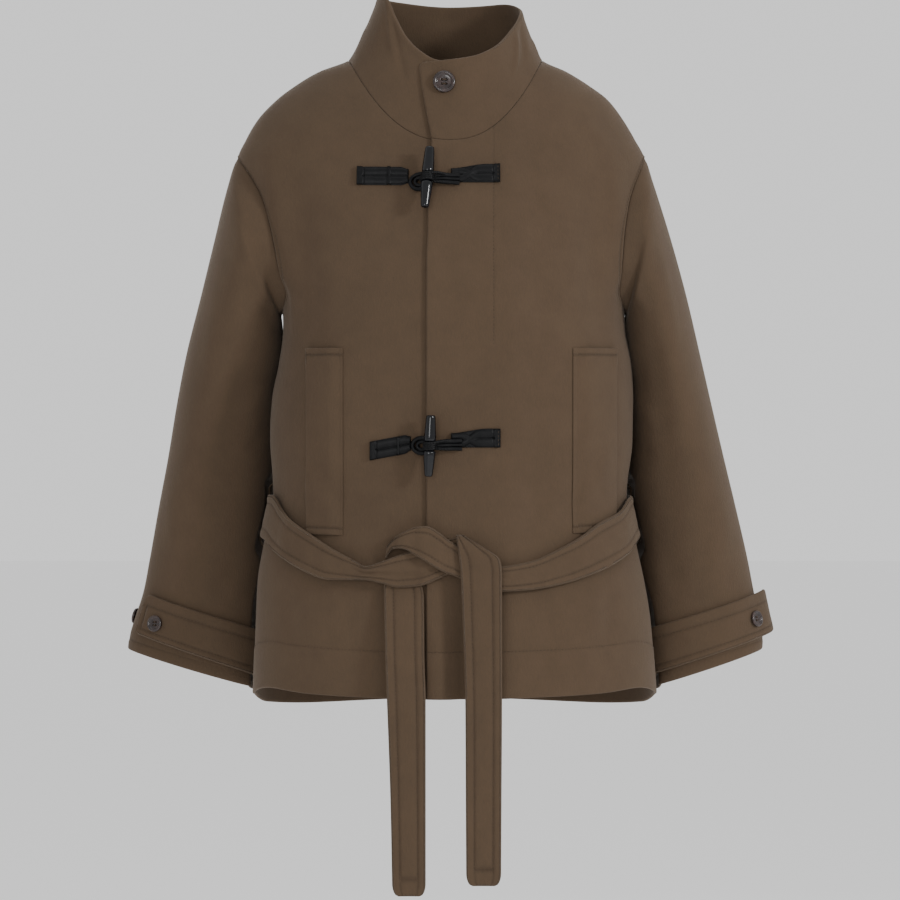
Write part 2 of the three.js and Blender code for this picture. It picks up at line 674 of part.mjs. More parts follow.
function addCollar() {
  const rows = 5;
  const endSlant = Math.asin(collarEndTop / collarTopHalf) / DEG - neckEnd(1);
  const stations = [];
  const addStations = (from, to, count) => {
    for (let c = stations.length ? 1 : 0; c <= count; c++) stations.push(mix(from, to, c / count));
  };
  addStations(-neckEnd(1), 90, frontColumns);
  addStations(90, 270, backColumns);
  addStations(270, 360 + neckEnd(-1), frontColumns);
  const grid = (out) => {
    const points = [];
    for (let r = 0; r <= rows; r++) {
      const rise = r / rows;
      const slant = (turn) => endSlant * rise * smooth(-turn / neckEnd(1));
      points.push(stations.map((turn) => collarPoint(turn - slant(turn), rise, out)));
    }
    return points;
  };
  add("collar", wall(grid(0), grid(-cloth), { inset: ["first"] }), wool);
}

// A flat piece laid on a surface. pointAt(u, v, out) gives that surface, u and v run 0 to 1.
function patch(pointAt, columns, rows, gap, thick, inset = []) {
  const grid = (out) => {
    const points = [];
    for (let r = 0; r <= rows; r++) {
      const row = [];
      for (let c = 0; c <= columns; c++) row.push(pointAt(c / columns, r / rows, out));
      points.push(row);
    }
    return points;
  };
  return wall(grid(gap + thick), grid(gap), { inset });
}

function addWelts() {
  const welts = [
    { name: "pocket_welt_left", from: 131, to: 177, top: -313, bottom: -511 },
    { name: "pocket_welt_right", from: -114, to: -152.5, top: -313, bottom: -513 },
  ];
  for (const welt of welts) {
    const pointAt = (u, v, out) => {
      const z = mix(welt.bottom, welt.top, v);
      return outside(turnAt(mix(welt.from, welt.to, u), z), z, out);
    };
    add(welt.name, patch(pointAt, 3, 12, rest + 0.4, weltThick), wool);
  }
}

function addBelt() {
  for (const [name, stations] of Object.entries(beltStretches)) {
    const rows = stations.map((row, i) => ({ ...row, i }));
    const last = rows.length - 1;
    const pointAt = (u, v, out) => {
      const i = u * last;
      const z = mix(read(rows, "i", i, "bottom"), read(rows, "i", i, "top"), v);
      return outside(read(rows, "i", i, "turn"), z, read(rows, "i", i, "out") + out);
    };
    const columns = last * (name === "belt_back" ? 3 : 2);
    const inset = name === "belt_back" ? ["start", "end"] : ["start"];
    add(name, patch(pointAt, columns, 2, 0, beltThick, inset), wool);
  }
  for (const [name, stations] of Object.entries(beltTails)) {
    const rows = stations.map((row, i) => ({ ...row, i }));
    const last = rows.length - 1;
    const pointAt = (u, v, out) => {
      const get = (column) => read(rows, "i", v * last, column);
      return new THREE.Vector3(mix(get("from"), get("to"), u), get("y") - out, get("z"));
    };
    add(name, patch(pointAt, 2, last * 2, 0, beltThick), wool);
  }
}

function addBeltLoops() {
  for (const [name, side] of [["belt_loop_left", 1], ["belt_loop_right", -1]]) {
    const middle = side * 102;
    const width = 6; // degrees, about 10 mm
    const high = -456;
    const low = -532;
    const arch = (v) => (rest + beltThick + 1.6) * smooth(Math.min(v, 1 - v) * 9);
    const pointAt = (u, v, out) => {
      const z = mix(low, high, v);
      return outside(middle + (u - 0.5) * width * side, z, out + arch(v));
    };
    add(name, patch(pointAt, 1, 16, rest, 2.4), wool);
  }
}

function addTabs() {
  const tabs = [
    { side: 1, name: "cuff_tab_left", from: 148, to: -8, flare: 8, lower: 12 },
    { side: -1, name: "cuff_tab_right", from: 148, to: 30, flare: 1, lower: 11.75 },
  ];
  for (const tab of tabs) {
    const pointAt = (u, v, out) => {
      const round = mix(tab.from, tab.to, u);
      const lift = tab.flare * smooth((u - 0.75) / 0.25);
      const ring = mix(mix(12.25, tab.lower, u), mix(10.3, 10, u), v);
      return sleevePoint(tab.side, ring, round, out + lift);
    };
    add(tab.name, patch(pointAt, 14, 2, rest + 0.4, tabThick), wool);
  }
}

// A turned piece about the local Z axis, from a profile of radii and places along the axis.
function turned(profile, radius, length, segments) {
  const outline = profile.map((row) => new THREE.Vector2(row.radius * radius, row.at * length));
  const geometry = new THREE.LatheGeometry(outline, segments);
  geometry.rotateX(Math.PI / 2);
  geometry.deleteAttribute("normal");
  geometry.deleteAttribute("uv");
  return geometry;
}

function addButton(name, centre, facing, diameter) {
  const thick = diameter * 0.17;
  const mesh = add(name, turned(buttonProfile, diameter / 2, thick, 12), horn);
  mesh.quaternion.setFromUnitVectors(up, facing.clone().normalize());
  mesh.position.copy(centre);
}

function addButtons() {
  const onCollar = collarPoint(-4, 0.72, rest);
  addButton("collar_button", onCollar, new THREE.Vector3(0, -1, 0.12), 24);
  const cuffs = [
    { side: 1, front: "cuff_button_left", back: "cuff_button_left_back", round: 32, behind: -32, lift: 0.7 },
    { side: -1, front: "cuff_button_right", back: "cuff_button_right_back", round: 52, behind: -9, lift: 0.6 },
  ];
  for (const cuff of cuffs) {
    const tabFace = tabThick + 1 + rest + cuff.lift;
    const place = (round, out) => sleevePoint(cuff.side, 11, round, out);
    const facing = place(cuff.round, 10).sub(place(cuff.round, 0));
    addButton(cuff.front, place(cuff.round, tabFace), facing, 18);
    const facingBack = place(cuff.behind, 10).sub(place(cuff.behind, 0));
    addButton(cuff.back, place(cuff.behind, rest - 0.4), facingBack, 18);
  }
}

// Sweeps a round cord of a few sides along points; a closed one joins its ends.
function cord(points, thick, closed) {
  const sides = 6;
  const count = points.length;
  const rings = points.map((point, i) => {
    const before = points[closed ? (i + count - 1) % count : Math.max(0, i - 1)];
    const after = points[closed ? (i + 1) % count : Math.min(count - 1, i + 1)];
    const along = after.clone().sub(before).normalize();
    const a = new THREE.Vector3(0, 1, 0).cross(along).normalize();
    const b = along.clone().cross(a);
    const ring = [];
    for (let s = 0; s < sides; s++) {
      const angle = (s * 2 * Math.PI) / sides;
      const offset = a.clone().multiplyScalar(Math.cos(angle)).addScaledVector(b, Math.sin(angle));
      ring.push(point.clone().addScaledVector(offset, thick / 2));
    }
    return ring;
  });
  const faces = [];
  const at = (r, s) => (r % count) * sides + (s % sides);
  for (let r = 0; r < (closed ? count : count - 1); r++) {
    for (let s = 0; s < sides; s++) {
      faces.push(at(r, s), at(r, s + 1), at(r + 1, s + 1), at(r, s), at(r + 1, s + 1), at(r + 1, s));
    }
  }
  for (let s = 1; s < sides - 1 && !closed; s++) {
    faces.push(at(0, 0), at(0, s + 1), at(0, s));
    faces.push(at(count - 1, 0), at(count - 1, s), at(count - 1, s + 1));
  }
  return solid(rings.flat(), faces);
}

// A toggle with the patch that carries it, its cord, and the loop and patch on the other front.
function addToggle(row) {
  // A frame on the cloth under the toggle: right, out and up along its surface
  const place = (x, z, out) => outside(turnAt(x, z), z, out);
  const centre = place(row.x, row.z, 0);
  const rise = place(row.x, row.z + 20, 0).sub(place(row.x, row.z - 20, 0)).normalize();
  const right = new THREE.Vector3(1, 0, 0);
  const out = right.clone().cross(rise).normalize();
  const local = (across, off, high) =>
    centre
      .clone()
      .addScaledVector(right, across)
      .addScaledVector(out, off)
      .addScaledVector(rise, high);

  const radii = toggleProfile.map((p) => ({ radius: p.radius, at: p.at - 0.5 }));
  const toggle = add("toggle_" + row.level, turned(radii, 1, row.long, 12), gloss);
  const axis = rise.clone().addScaledVector(right, Math.tan(row.lean * DEG)).normalize();
  toggle.quaternion.setFromUnitVectors(up, axis);
  toggle.position.copy(local(0, toggleOut, 0));

  const half = 10;
  const loopHalf = 10.6;
  const loopEnd = row.x - 7.6 - loopHalf - cordThick / 2 - seamGap;
  const patches = [
    { name: "loop_patch_", from: row.patchFrom, to: loopEnd, z: row.patchZ, rise: row.patchRise },
    { name: "toggle_patch_", from: 1, to: 53, z: row.facingZ, rise: row.facingRise },
  ];
  for (const strap of patches) {
    const pointAt = (u, v, off) => {
      const z = strap.z + (u - 0.5) * strap.rise + mix(-half, half, v);
      return place(mix(strap.from, strap.to, u), z, off);
    };
    add(strap.name + row.level, patch(pointAt, 5, 2, rest, trimThick), strapLeather);
  }

  const loopPoints = [];
  const loopSteps = 16;
  for (let i = 0; i < loopSteps; i++) {
    const angle = (i * 2 * Math.PI) / loopSteps;
    const x = row.x - 7.6 + loopHalf * Math.cos(angle);
    loopPoints.push(place(x, row.z + 8.2 * Math.sin(angle) - 0.5, rest + cordThick / 2));
  }
  add("loop_" + row.level, cord(loopPoints, cordThick, true), strapLeather);

  // The cord leaves the patch, rides over the loop, wraps the toggle's waist and comes back.
  const around = toggleWaist + cordThick / 2 + 0.5;
  const onPatch = rest + trimThick + cordThick / 2 + 0.2;
  const route = [
    [34, onPatch, 5.6],
    [28, onPatch, 5.4],
    [18, 8, 4.6],
    [9, toggleOut + 3, 3.2],
    [4, toggleOut + around - 1, 2.8],
    [0, toggleOut + around, 2.7],
    [-4.4, toggleOut + around - 2, 2.4],
    [-around, toggleOut, 1],
    [-4.4, toggleOut - around + 2, -0.4],
    [0, toggleOut - around, -0.8],
    [5, toggleOut - around + 1.6, -1.4],
    [10, toggleOut - 3.2, -2.2],
    [18, 8, -3],
    [28, onPatch, -3.8],
    [34, onPatch, -4],
  ];
  const curve = new THREE.CatmullRomCurve3(
    route.map(([across, off, high]) => local(across, off, high)),
  );
  add("toggle_cord_" + row.level, cord(curve.getPoints(24), cordThick - 0.4, false), strapLeather);
}

addBody();
addSleeve(1, "sleeve_left");
addSleeve(-1, "sleeve_right");
addCollar();
addWelts();
addBelt();
addBeltLoops();
addTabs();
addButtons();
for (const row of toggles) addToggle(row);

export default coat;
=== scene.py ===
import math
import bpy
import numpy as np
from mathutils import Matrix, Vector


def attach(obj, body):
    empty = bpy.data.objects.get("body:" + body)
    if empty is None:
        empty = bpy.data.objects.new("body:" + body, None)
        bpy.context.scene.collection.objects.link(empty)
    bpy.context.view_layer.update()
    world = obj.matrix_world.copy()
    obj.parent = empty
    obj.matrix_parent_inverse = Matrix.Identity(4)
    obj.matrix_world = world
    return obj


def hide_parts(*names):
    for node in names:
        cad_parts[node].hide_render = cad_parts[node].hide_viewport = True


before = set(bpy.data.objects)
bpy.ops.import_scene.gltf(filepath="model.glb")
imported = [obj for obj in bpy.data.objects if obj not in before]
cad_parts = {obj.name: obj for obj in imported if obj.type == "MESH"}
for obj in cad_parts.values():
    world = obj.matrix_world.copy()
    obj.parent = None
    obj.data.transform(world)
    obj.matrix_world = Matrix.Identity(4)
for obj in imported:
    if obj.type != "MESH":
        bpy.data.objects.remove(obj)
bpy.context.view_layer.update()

# Short wool duffle coat, filled out as if worn but empty. Shapes are worked out in millimetres,
# +Z up, front towards -Y, the coat's own left towards +X, and put into the meshes in metres.
toMetres = 0.001
deg = math.pi / 180
farOff = 30.0  # stands for "no sewn line near" in the distance attributes


# Small tools for tables and grids
def table(names, *rows):
    return dict(zip(names.split(), np.array(rows, dtype=float).T))


def read(rows, key, column, at):
    # a smooth curve through the rows that never overshoots them
    keys, values = rows[key], rows[column]
    if keys[0] > keys[-1]:
        keys, values = keys[::-1], values[::-1]
    at = np.clip(np.asarray(at, dtype=float), keys[0], keys[-1])
    span = np.diff(keys)
    slope = np.diff(values) / span
    before, after = slope[:-1], slope[1:]
    same = before * after > 0
    tangent = np.concatenate([
        slope[:1],
        np.where(same, 2 * before * after / np.where(same, before + after, 1), 0),
        slope[-1:],
    ])
    i = np.clip(np.searchsorted(keys, at, side="right") - 1, 0, len(keys) - 2)
    t = (at - keys[i]) / span[i]
    bend = t * t * (3 - 2 * t)
    leave = (t**3 - 2 * t * t + t) * span[i] * tangent[i]
    arrive = (t**3 - t * t) * span[i] * tangent[i + 1]
    return values[i] * (1 - bend) + values[i + 1] * bend + leave + arrive


def mix(a, b, t):
    return a + (b - a) * t


def smooth(t):
    t = np.clip(t, 0, 1)
    return t * t * (3 - 2 * t)


def power(value, exponent):
    return np.sign(value) * np.abs(value) ** exponent


def bump(offset, wide):
    return np.exp(-((offset / wide) ** 2))


def unit(vectors):
    return vectors / np.maximum(np.linalg.norm(vectors, axis=-1, keepdims=True), 1e-9)


def stack(x, y, z):
    return np.stack(np.broadcast_arrays(x, y, z), axis=-1).astype(float)


def turnApart(turn, line):
    return (turn - line + 180) % 360 - 180


def ranges(*parts):
    # joins stretches of (from, to, count) into one rising row of places
    out = [np.linspace(a, b, n, endpoint=False) for a, b, n in parts]
    return np.concatenate(out + [[parts[-1][1]]])


def borderDistances(grid):
    # how far each point lies, in mm, from the start, end, first and last side of its grid
    across = np.linalg.norm(np.diff(grid, axis=1), axis=2).cumsum(axis=1)
    across = np.pad(across, ((0, 0), (1, 0)))
    along = np.linalg.norm(np.diff(grid, axis=0), axis=2).cumsum(axis=0)
    along = np.pad(along, ((1, 0), (0, 0)))
    return {
        "start": across,
        "end": across[:, -1:] - across,
        "first": along,
        "last": along[-1:] - along,
    }


def nearest(*distances):
    out = farOff
    for distance in distances:
        out = np.minimum(out, np.abs(distance))
    return out


# Camera, stage and light
cameraSet = {"away": 4.0, "height": -0.422, "lens": 145.5, "sensor": 36.0}
stageSet = {"floorZ": -1.46, "floorSize": 60.0, "paper": (0.93, 0.93, 0.93, 1), "sky": 1.0}
lightSet = {
    # name: where, aimed at, size, power
    "keyRight": ((2.9, -2.2, 0.75), (0.0, 0, -0.5), (0.6, 0.6), 85),
    "fillFront": ((-0.9, -3.8, 0.0), (0, 0, -0.5), (1.2, 1.2), 44),
    "topSoft": ((0.1, -0.6, 2.6), (0, 0, -0.3), (2.4, 1.6), 14),
    "backSoft": ((-0.4, 3.2, 1.2), (0, 0, -0.3), (2.4, 1.8), 40),
}


def makeStage():
    data = bpy.data.cameras.new("photoCamera")
    data.lens = cameraSet["lens"]
    data.sensor_width = cameraSet["sensor"]
    camera = bpy.data.objects.new("photoCamera", data)
    camera.location = (0, -cameraSet["away"], cameraSet["height"])
    camera.rotation_euler = (90 * deg, 0, 0)
    bpy.context.scene.collection.objects.link(camera)
    bpy.context.scene.camera = camera

    half = stageSet["floorSize"] / 2
    corners = [(-half, -half), (half, -half), (half, half), (-half, half)]
    mesh = bpy.data.meshes.new("studioFloor")
    mesh.from_pydata([(x, y, stageSet["floorZ"]) for x, y in corners], [], [(0, 1, 2, 3)])
    floor = bpy.data.objects.new("studioFloor", mesh)
    bpy.context.scene.collection.objects.link(floor)
    paper = bpy.data.materials.new("studioPaper")
    paper.use_nodes = True
    shader = paper.node_tree.nodes["Principled BSDF"]
    shader.inputs["Base Color"].default_value = stageSet["paper"]
    shader.inputs["Roughness"].default_value = 0.9
    mesh.materials.append(paper)

    for name, (place, target, size, watts) in lightSet.items():
        light = bpy.data.lights.new(name, "AREA")
        light.shape = "RECTANGLE"
        light.size, light.size_y = size
        light.energy = watts
        lamp = bpy.data.objects.new(name, light)
        lamp.location = place
        aim = Vector(target) - Vector(place)
        lamp.rotation_euler = aim.to_track_quat("-Z", "Y").to_euler()
        bpy.context.scene.collection.objects.link(lamp)
    world = bpy.data.worlds.new("studioAir")
    world.use_nodes = True
    background = world.node_tree.nodes["Background"]
    background.inputs["Color"].default_value = (1, 1, 1, 1)
    background.inputs["Strength"].default_value = stageSet["sky"]
    bpy.context.scene.world = world


makeStage()
print("stage ready")

# The body's surface, as in the part's source
cloth = 3
seamGap = 0.3
rest = 0.8
lap = 3.8
lapOver = 25
lapOverNeck = 20
lapUnder = 44
lapEnd = 58
lapFade = 95
bridge = 14
neckSide = 6
neckFront = -90
neckBack = 9
neckBend = 2.35
hemSide = -690
hemBlend = 100
armholeMiddle = -186
armholeHalf = 86
armholeReach = 28.65
straightBelow = -400

torso = table(
    "z left right front back square",
    (16, 97, 104, 52, 68, 2.0), (6, 102, 112, 56, 73, 2.0), (-7, 129, 145, 63, 79, 2.02),
    (-24, 156, 173, 71, 88, 2.05), (-37, 173, 190, 77, 96, 2.1), (-59, 190, 211, 86, 106, 2.15),
    (-81, 203, 224, 94, 114, 2.2), (-103, 214, 233, 101, 120, 2.2), (-120, 216, 230, 107, 124, 2.22),
    (-150, 214, 222, 116, 128, 2.25), (-195, 207, 210, 126, 131, 2.3), (-232, 198, 196, 134, 131, 2.4),
    (-257, 191, 184, 138, 130, 2.5), (-290, 192, 183, 140, 126, 2.5), (-328, 198, 187, 140, 123, 2.5),
    (-366, 200, 194, 140, 120, 2.5), (-410, 200, 197, 138, 117, 2.5), (-470, 194, 194, 134, 116, 2.52),
    (-528, 205, 205, 138, 123, 2.55), (-565, 213, 211, 141, 128, 2.6), (-609, 220, 213, 144, 132, 2.6),
    (-710, 228, 217, 147, 134, 2.6),
)
hemLine = table(
    "turn z", (0, -687), (40, -682), (60, -678), (90, -690), (112, -703), (140, -707), (180, -703),
)
# broad folds: ridges positive, troughs negative; turn, wide and lean are in degrees
torsoFolds = [
    # turn, z, tall, wide, deep, lean
    (57, -190, 75, 7, 5, 5), (46, -200, 80, 7, -3.5, 5), (-59, -190, 75, 7, 5, -3),
    (-47, -200, 80, 7, -3.5, -3), (124, -210, 90, 8, 5, -5), (136, -220, 90, 8, -3.5, -5),
    (-123, -210, 90, 8, 5, 5), (-135, -220, 90, 8, -3.5, 5), (150, -560, 60, 10, 5, 6),
    (-152, -575, 65, 11, 5, -6), (172, -590, 70, 9, -4, 4), (168, -410, 50, 13, 4, -4),
    (-166, -400, 50, 13, 4, 4),
    # finer ones, in the cloth alone
    (63, -215, 45, 2.6, 1.4, 4), (-64, -225, 50, 2.6, 1.5, -2), (51.5, -170, 40, 2.6, -1.0, 6),
    (118, -215, 50, 3, 1.5, -6), (-117, -230, 55, 3, 1.4, 5), (143, -300, 60, 4, -1.2, -9),
    (-146, -310, 60, 4, -1.3, 8), (88, -350, 60, 4, 1.2, 3), (-87, -360, 55, 4, 1.3, -4),
]
# softer creases laid over the front and the back, as lines across the surface
frontCreases = [
    # from x, z to x, z, bow, wide, deep
    (44, -311, 136, -313, 0.5, 1.8, -0.8), (48, -315.5, 130, -317, 0.5, 3.2, 0.45),
    (-150, -428, -118, -492, 5, 8, -1.3), (-168, -418, -142, -498, 6, 7, 1.3),
    (-96, -470, -88, -528, 3, 9, -1.0), (-60, -486, -44, -530, 2, 9, 0.9),
    (96, -468, 84, -530, -4, 9, -1.0), (124, -440, 112, -512, -5, 8, 1.1),
    (160, -420, 128, -505, -6, 8, -1.4), (174, -400, 160, -470, -3, 8, 1.3),
    (-150, -570, -128, -668, -4, 11, 1.3), (-112, -566, -106, -650, 3, 10, -1.2),
    (152, -560, 136, -660, 4, 11, 1.3), (112, -580, 100, -662, -3, 11, -1.1),
    (-176, -560, -170, -650, 3, 9, -1.2), (176, -560, 172, -650, -3, 9, -1.2),
    (-96, -112, -128, -178, 6, 11, 1.0), (92, -110, 126, -172, -6, 11, 0.9),
    (-140, -58, -176, -96, 4, 9, 0.8), (140, -56, 172, -92, -4, 9, 0.7),
    (-88, -225, -150, -290, 8, 15, -1.0), (84, -235, 150, -300, -8, 15, -1.0),
    (10, -556, 12, -770, 0, 13, -10),
]
backCreases = [
    (-150, -425, -112, -466, 5, 8, -1.4), (-122, -405, -74, -462, 6, 9, 1.3),
    (-60, -415, -38, -463, 3, 9, -1.2), (20, -405, 12, -463, -3, 10, 1.2),
    (64, -418, 50, -463, -4, 9, -1.3), (128, -410, 92, -464, -6, 9, 1.3),
    (158, -430, 132, -468, -4, 8, -1.3), (-140, -545, -118, -668, -5, 11, 1.4),
    (-96, -530, -88, -640, 4, 10, -1.3), (-36, -545, -30, -668, 3, 11, 1.1),
    (30, -530, 38, -640, -3, 10, -1.2), (96, -540, 104, -668, 4, 11, 1.4),
    (148, -535, 154, -640, -3, 10, -1.2), (-120, -90, -60, -60, 8, 14, 0.8),
    (112, -86, 58, -58, -8, 14, 0.8), (-96, -200, -150, -285, 8, 14, -1.2),
    (100, -205, 152, -290, -8, 14, -1.2), (-30, -250, 26, -300, 9, 18, 0.9),
]


def creaseDepth(creases, a, b):
    total = 0.0
    for fromA, fromB, toA, toB, bow, wide, deep in creases:
        da, db = toA - fromA, toB - fromB
        length = math.hypot(da, db)
        t = ((a - fromA) * da + (b - fromB) * db) / length**2
        off = ((a - fromA) * -db + (b - fromB) * da) / length - bow * 4 * t * (1 - t)
        total = total + deep * bump(off, wide) * smooth(t / 0.35) * smooth((1 - t) / 0.35)
    return total


def halfWidth(z, side):
    left, right = read(torso, "z", "left", z), read(torso, "z", "right", z)
    return np.where(np.asarray(side) > 0, left, right)


def foldDepth(turn, z):
    total = 0.0
    for line, middle, tall, wide, deep, lean in torsoFolds:
        across = turnApart(turn, line + lean * (middle - z) / 100)
        total = total + deep * bump(across, wide) * bump(z - middle, tall)
    return total


def bodyPoint(turn, z):
    turn, z = np.broadcast_arrays(np.asarray(turn, float), np.asarray(z, float))
    sin, cos = np.sin(turn * deg), np.cos(turn * deg)
    width = halfWidth(z, np.where(sin < 0, -1, 1))
    ahead = cos > 0
    depth = np.where(ahead, read(torso, "z", "front", z), read(torso, "z", "back", z))
    squareness = 2 / read(torso, "z", "square", z)
    x = width * power(sin, squareness)
    y = -depth * power(cos, squareness)
    outward = unit(stack(x / width**2, y / depth**2, 0))
    crease = np.where(ahead, creaseDepth(frontCreases, x, z), creaseDepth(backCreases, x, z))
    return stack(x, y, z) + outward * (foldDepth(turn, z) + crease)[..., None]


def bodyNormal(turn, z):
    turn, z = np.asarray(turn, float), np.asarray(z, float)
    along = bodyPoint(turn + 0.5, z) - bodyPoint(turn - 0.5, z)
    rise = bodyPoint(turn, z + 1) - bodyPoint(turn, z - 1)
    return unit(np.cross(along, rise))


def lapLift(x):
    return lap * (1 - smooth((x - lapEnd) / (lapFade - lapEnd)))


def outside(turn, z, out):
    point = bodyPoint(turn, z)
    slope = 1 - smooth((-lapOver - point[..., 0]) / bridge)
    ahead = np.cos(np.asarray(turn) * deg) > 0
    lift = np.where(ahead, lapLift(point[..., 0]) * slope, 0)
    return point + bodyNormal(turn, z) * (lift + out)[..., None]


def turnAt(x, z):
    width = halfWidth(z, x)
    share = np.minimum(1, np.abs(x) / width)
    return np.sign(x) * np.arcsin(share ** (read(torso, "z", "square", z) / 2)) / deg


def neckHeight(turn):
    share = np.abs(np.sin(turn * deg)) ** neckBend
    return mix(np.where(np.cos(turn * deg) > 0, neckFront, neckBack), neckSide, share)


def neckTurn(turn):
    side = np.where(np.sin(turn * deg) < 0, -1, 1)
    front = turnAt(halfWidth(neckSide, side) * np.sin(turn * deg), neckHeight(turn))
    return np.where(np.cos(turn * deg) > 0, front, side * 180 - front)


def neckNormal(turn):
    return unit(stack(np.sin(turn * deg), -np.cos(turn * deg), 0.7))


def armholeNormal(side, around):
    lean = 0.7 * np.cos(around * deg / 2) ** 2
    return unit(stack(side * lean, -np.sin(around * deg), np.cos(around * deg)))


def hemWave(turn, z):
    fade = smooth((hemSide + hemBlend - z) / hemBlend)
    return (read(hemLine, "turn", "z", np.abs(turnApart(turn, 0))) - hemSide) * fade


def centreHeight(height, neck):
    share = (height - straightBelow) / (neckSide - straightBelow)
    return np.where(height < straightBelow, height, mix(straightBelow, neck, share))


def frontEdge(side, z):
    if side < 0:
        return lapUnder + 0 * z
    return mix(lapOverNeck, lapOver, smooth((neckFront - z) / 70))


def neckEnd(side):
    share = frontEdge(side, neckFront) / halfWidth(neckSide, -side)
    return float(np.arcsin(share) / deg)


# Meshes
def addMesh(name, parts, attributes=None):
    # parts are (points in mm, faces); each part is turned to face outwards
    points, faces, offset = [], [], 0
    for partPoints, partFaces in parts:
        partPoints = np.asarray(partPoints, dtype=float)
        fan = [(f[0], f[i], f[i + 1]) for f in partFaces for i in range(1, len(f) - 1)]
        fan = partPoints[np.array(fan)]
        volume = np.einsum("ij,ij->i", fan[:, 0], np.cross(fan[:, 1], fan[:, 2])).sum()
        order = -1 if volume < 0 else 1
        faces += [tuple(v + offset for v in face[::order]) for face in partFaces]
        points.append(partPoints)
        offset += len(partPoints)
    mesh = bpy.data.meshes.new(name)
    mesh.from_pydata((np.concatenate(points) * toMetres).tolist(), [], faces)
    for key, values in (attributes or {}).items():
        mesh.attributes.new(key, "FLOAT", "POINT").data.foreach_set("value", values.astype("f"))
    mesh.shade_smooth()
    obj = bpy.data.objects.new(name, mesh)
    bpy.context.scene.collection.objects.link(obj)
    return obj


def wall(outer, inner, sewn=None, free=(), closed=False, swell=0.5, seamSwell=0.22, steps=5):
    # A closed wall of cloth between two grids. Free sides get a round edge, the others a soft one
    # that stops half a seam gap short; sewn holds each point's distance from a sewn line.
    outer, inner = outer.copy(), inner.copy()
    rows, columns = outer.shape[:2]
    if sewn is None:
        sewn = np.full((rows, columns), farOff)
    sides = borderDistances(outer)
    edge = nearest(*[sides[name] for name in free]) if free else farOff
    edge = np.broadcast_to(edge, (rows, columns))
    if closed:
        loops = [
            [(0, c, "first") for c in range(columns)],
            [(rows - 1, c, "last") for c in reversed(range(columns))],
        ]
    else:
        loops = [
            [(0, c, "first") for c in range(columns - 1)]
            + [(r, columns - 1, "end") for r in range(rows - 1)]
            + [(rows - 1, c, "last") for c in range(columns - 1, 0, -1)]
            + [(r, 0, "start") for r in range(rows - 1, 0, -1)]
        ]
    inwards = {"first": (1, 0), "last": (-1, 0), "start": (0, 1), "end": (0, -1)}
    index = np.arange(rows * columns).reshape(rows, columns)
    rimPoints, rimFaces, rimSewn = [], [], []
    total = 2 * rows * columns
    for loop in loops:
        r = np.array([place[0] for place in loop])
        c = np.array([place[1] for place in loop])
        names = [place[2] for place in loop]
        away, amount = np.zeros((len(loop), 3)), np.zeros(len(loop))
        for k, name in enumerate(names):
            touching = {name}
            if not closed and loop[k][0] in (0, rows - 1) and loop[k][1] in (0, columns - 1):
                touching = {"first" if r[k] == 0 else "last", "start" if c[k] == 0 else "end"}
            for side in sorted(touching):
                dr, dc = inwards[side]
                way = outer[r[k], c[k]] - outer[r[k] + dr, c[k] + dc]
                away[k] += way / max(np.linalg.norm(way), 1e-9)
            allFree = all(side in free for side in touching)
            amount[k] = swell if allFree else seamSwell
        away = unit(away)
        thick = np.linalg.norm(outer[r, c] - inner[r, c], axis=1)
        gap = np.array([0 if name in free else seamGap / 2 for name in names])
        back = (thick * amount + gap)[:, None] * away
        outer[r, c] -= back
        inner[r, c] -= back
        lines = [index[r, c]]
        for k in range(1, steps):
            angle = math.pi * k / steps
            share = (1 - math.cos(angle)) / 2
            ring = mix(outer[r, c], inner[r, c], share)
            ring = ring + away * (thick * amount * math.sin(angle))[:, None]
            rimPoints.append(ring)
            rimSewn.append(sewn[r, c])
            lines.append(total + np.arange(len(loop)))
            total += len(loop)
        lines.append(rows * columns + index[r, c])
        count = len(loop)
        for a, b in zip(lines[:-1], lines[1:]):
            following = np.roll(np.arange(count), -1)
            rimFaces.append(np.stack([a[following], a, b, b[following]], axis=1))
    following = np.roll(index, -1, axis=1) if closed else index[:, 1:]
    base = index if closed else index[:, :-1]
    quads = np.stack([base[:-1], following[:-1], following[1:], base[1:]], axis=-1).reshape(-1, 4)
    faces = np.concatenate([quads, quads[:, ::-1] + rows * columns] + rimFaces)
    points = np.concatenate([outer.reshape(-1, 3), inner.reshape(-1, 3)] + rimPoints)
    rimCount = len(points) - 2 * rows * columns
    attributes = {
        "sewn": np.concatenate([sewn.ravel(), sewn.ravel()] + rimSewn),
        # edge: each point's distance from a free side, read by the wool's painted edge highlight
        "edge": np.concatenate([edge.ravel(), edge.ravel(), np.zeros(rimCount)]),
    }
    return (points, faces.tolist()), attributes


def clothPiece(name, outer, inner, **options):
    part, attributes = wall(outer, inner, **options)
    return addMesh(name, [part], attributes)


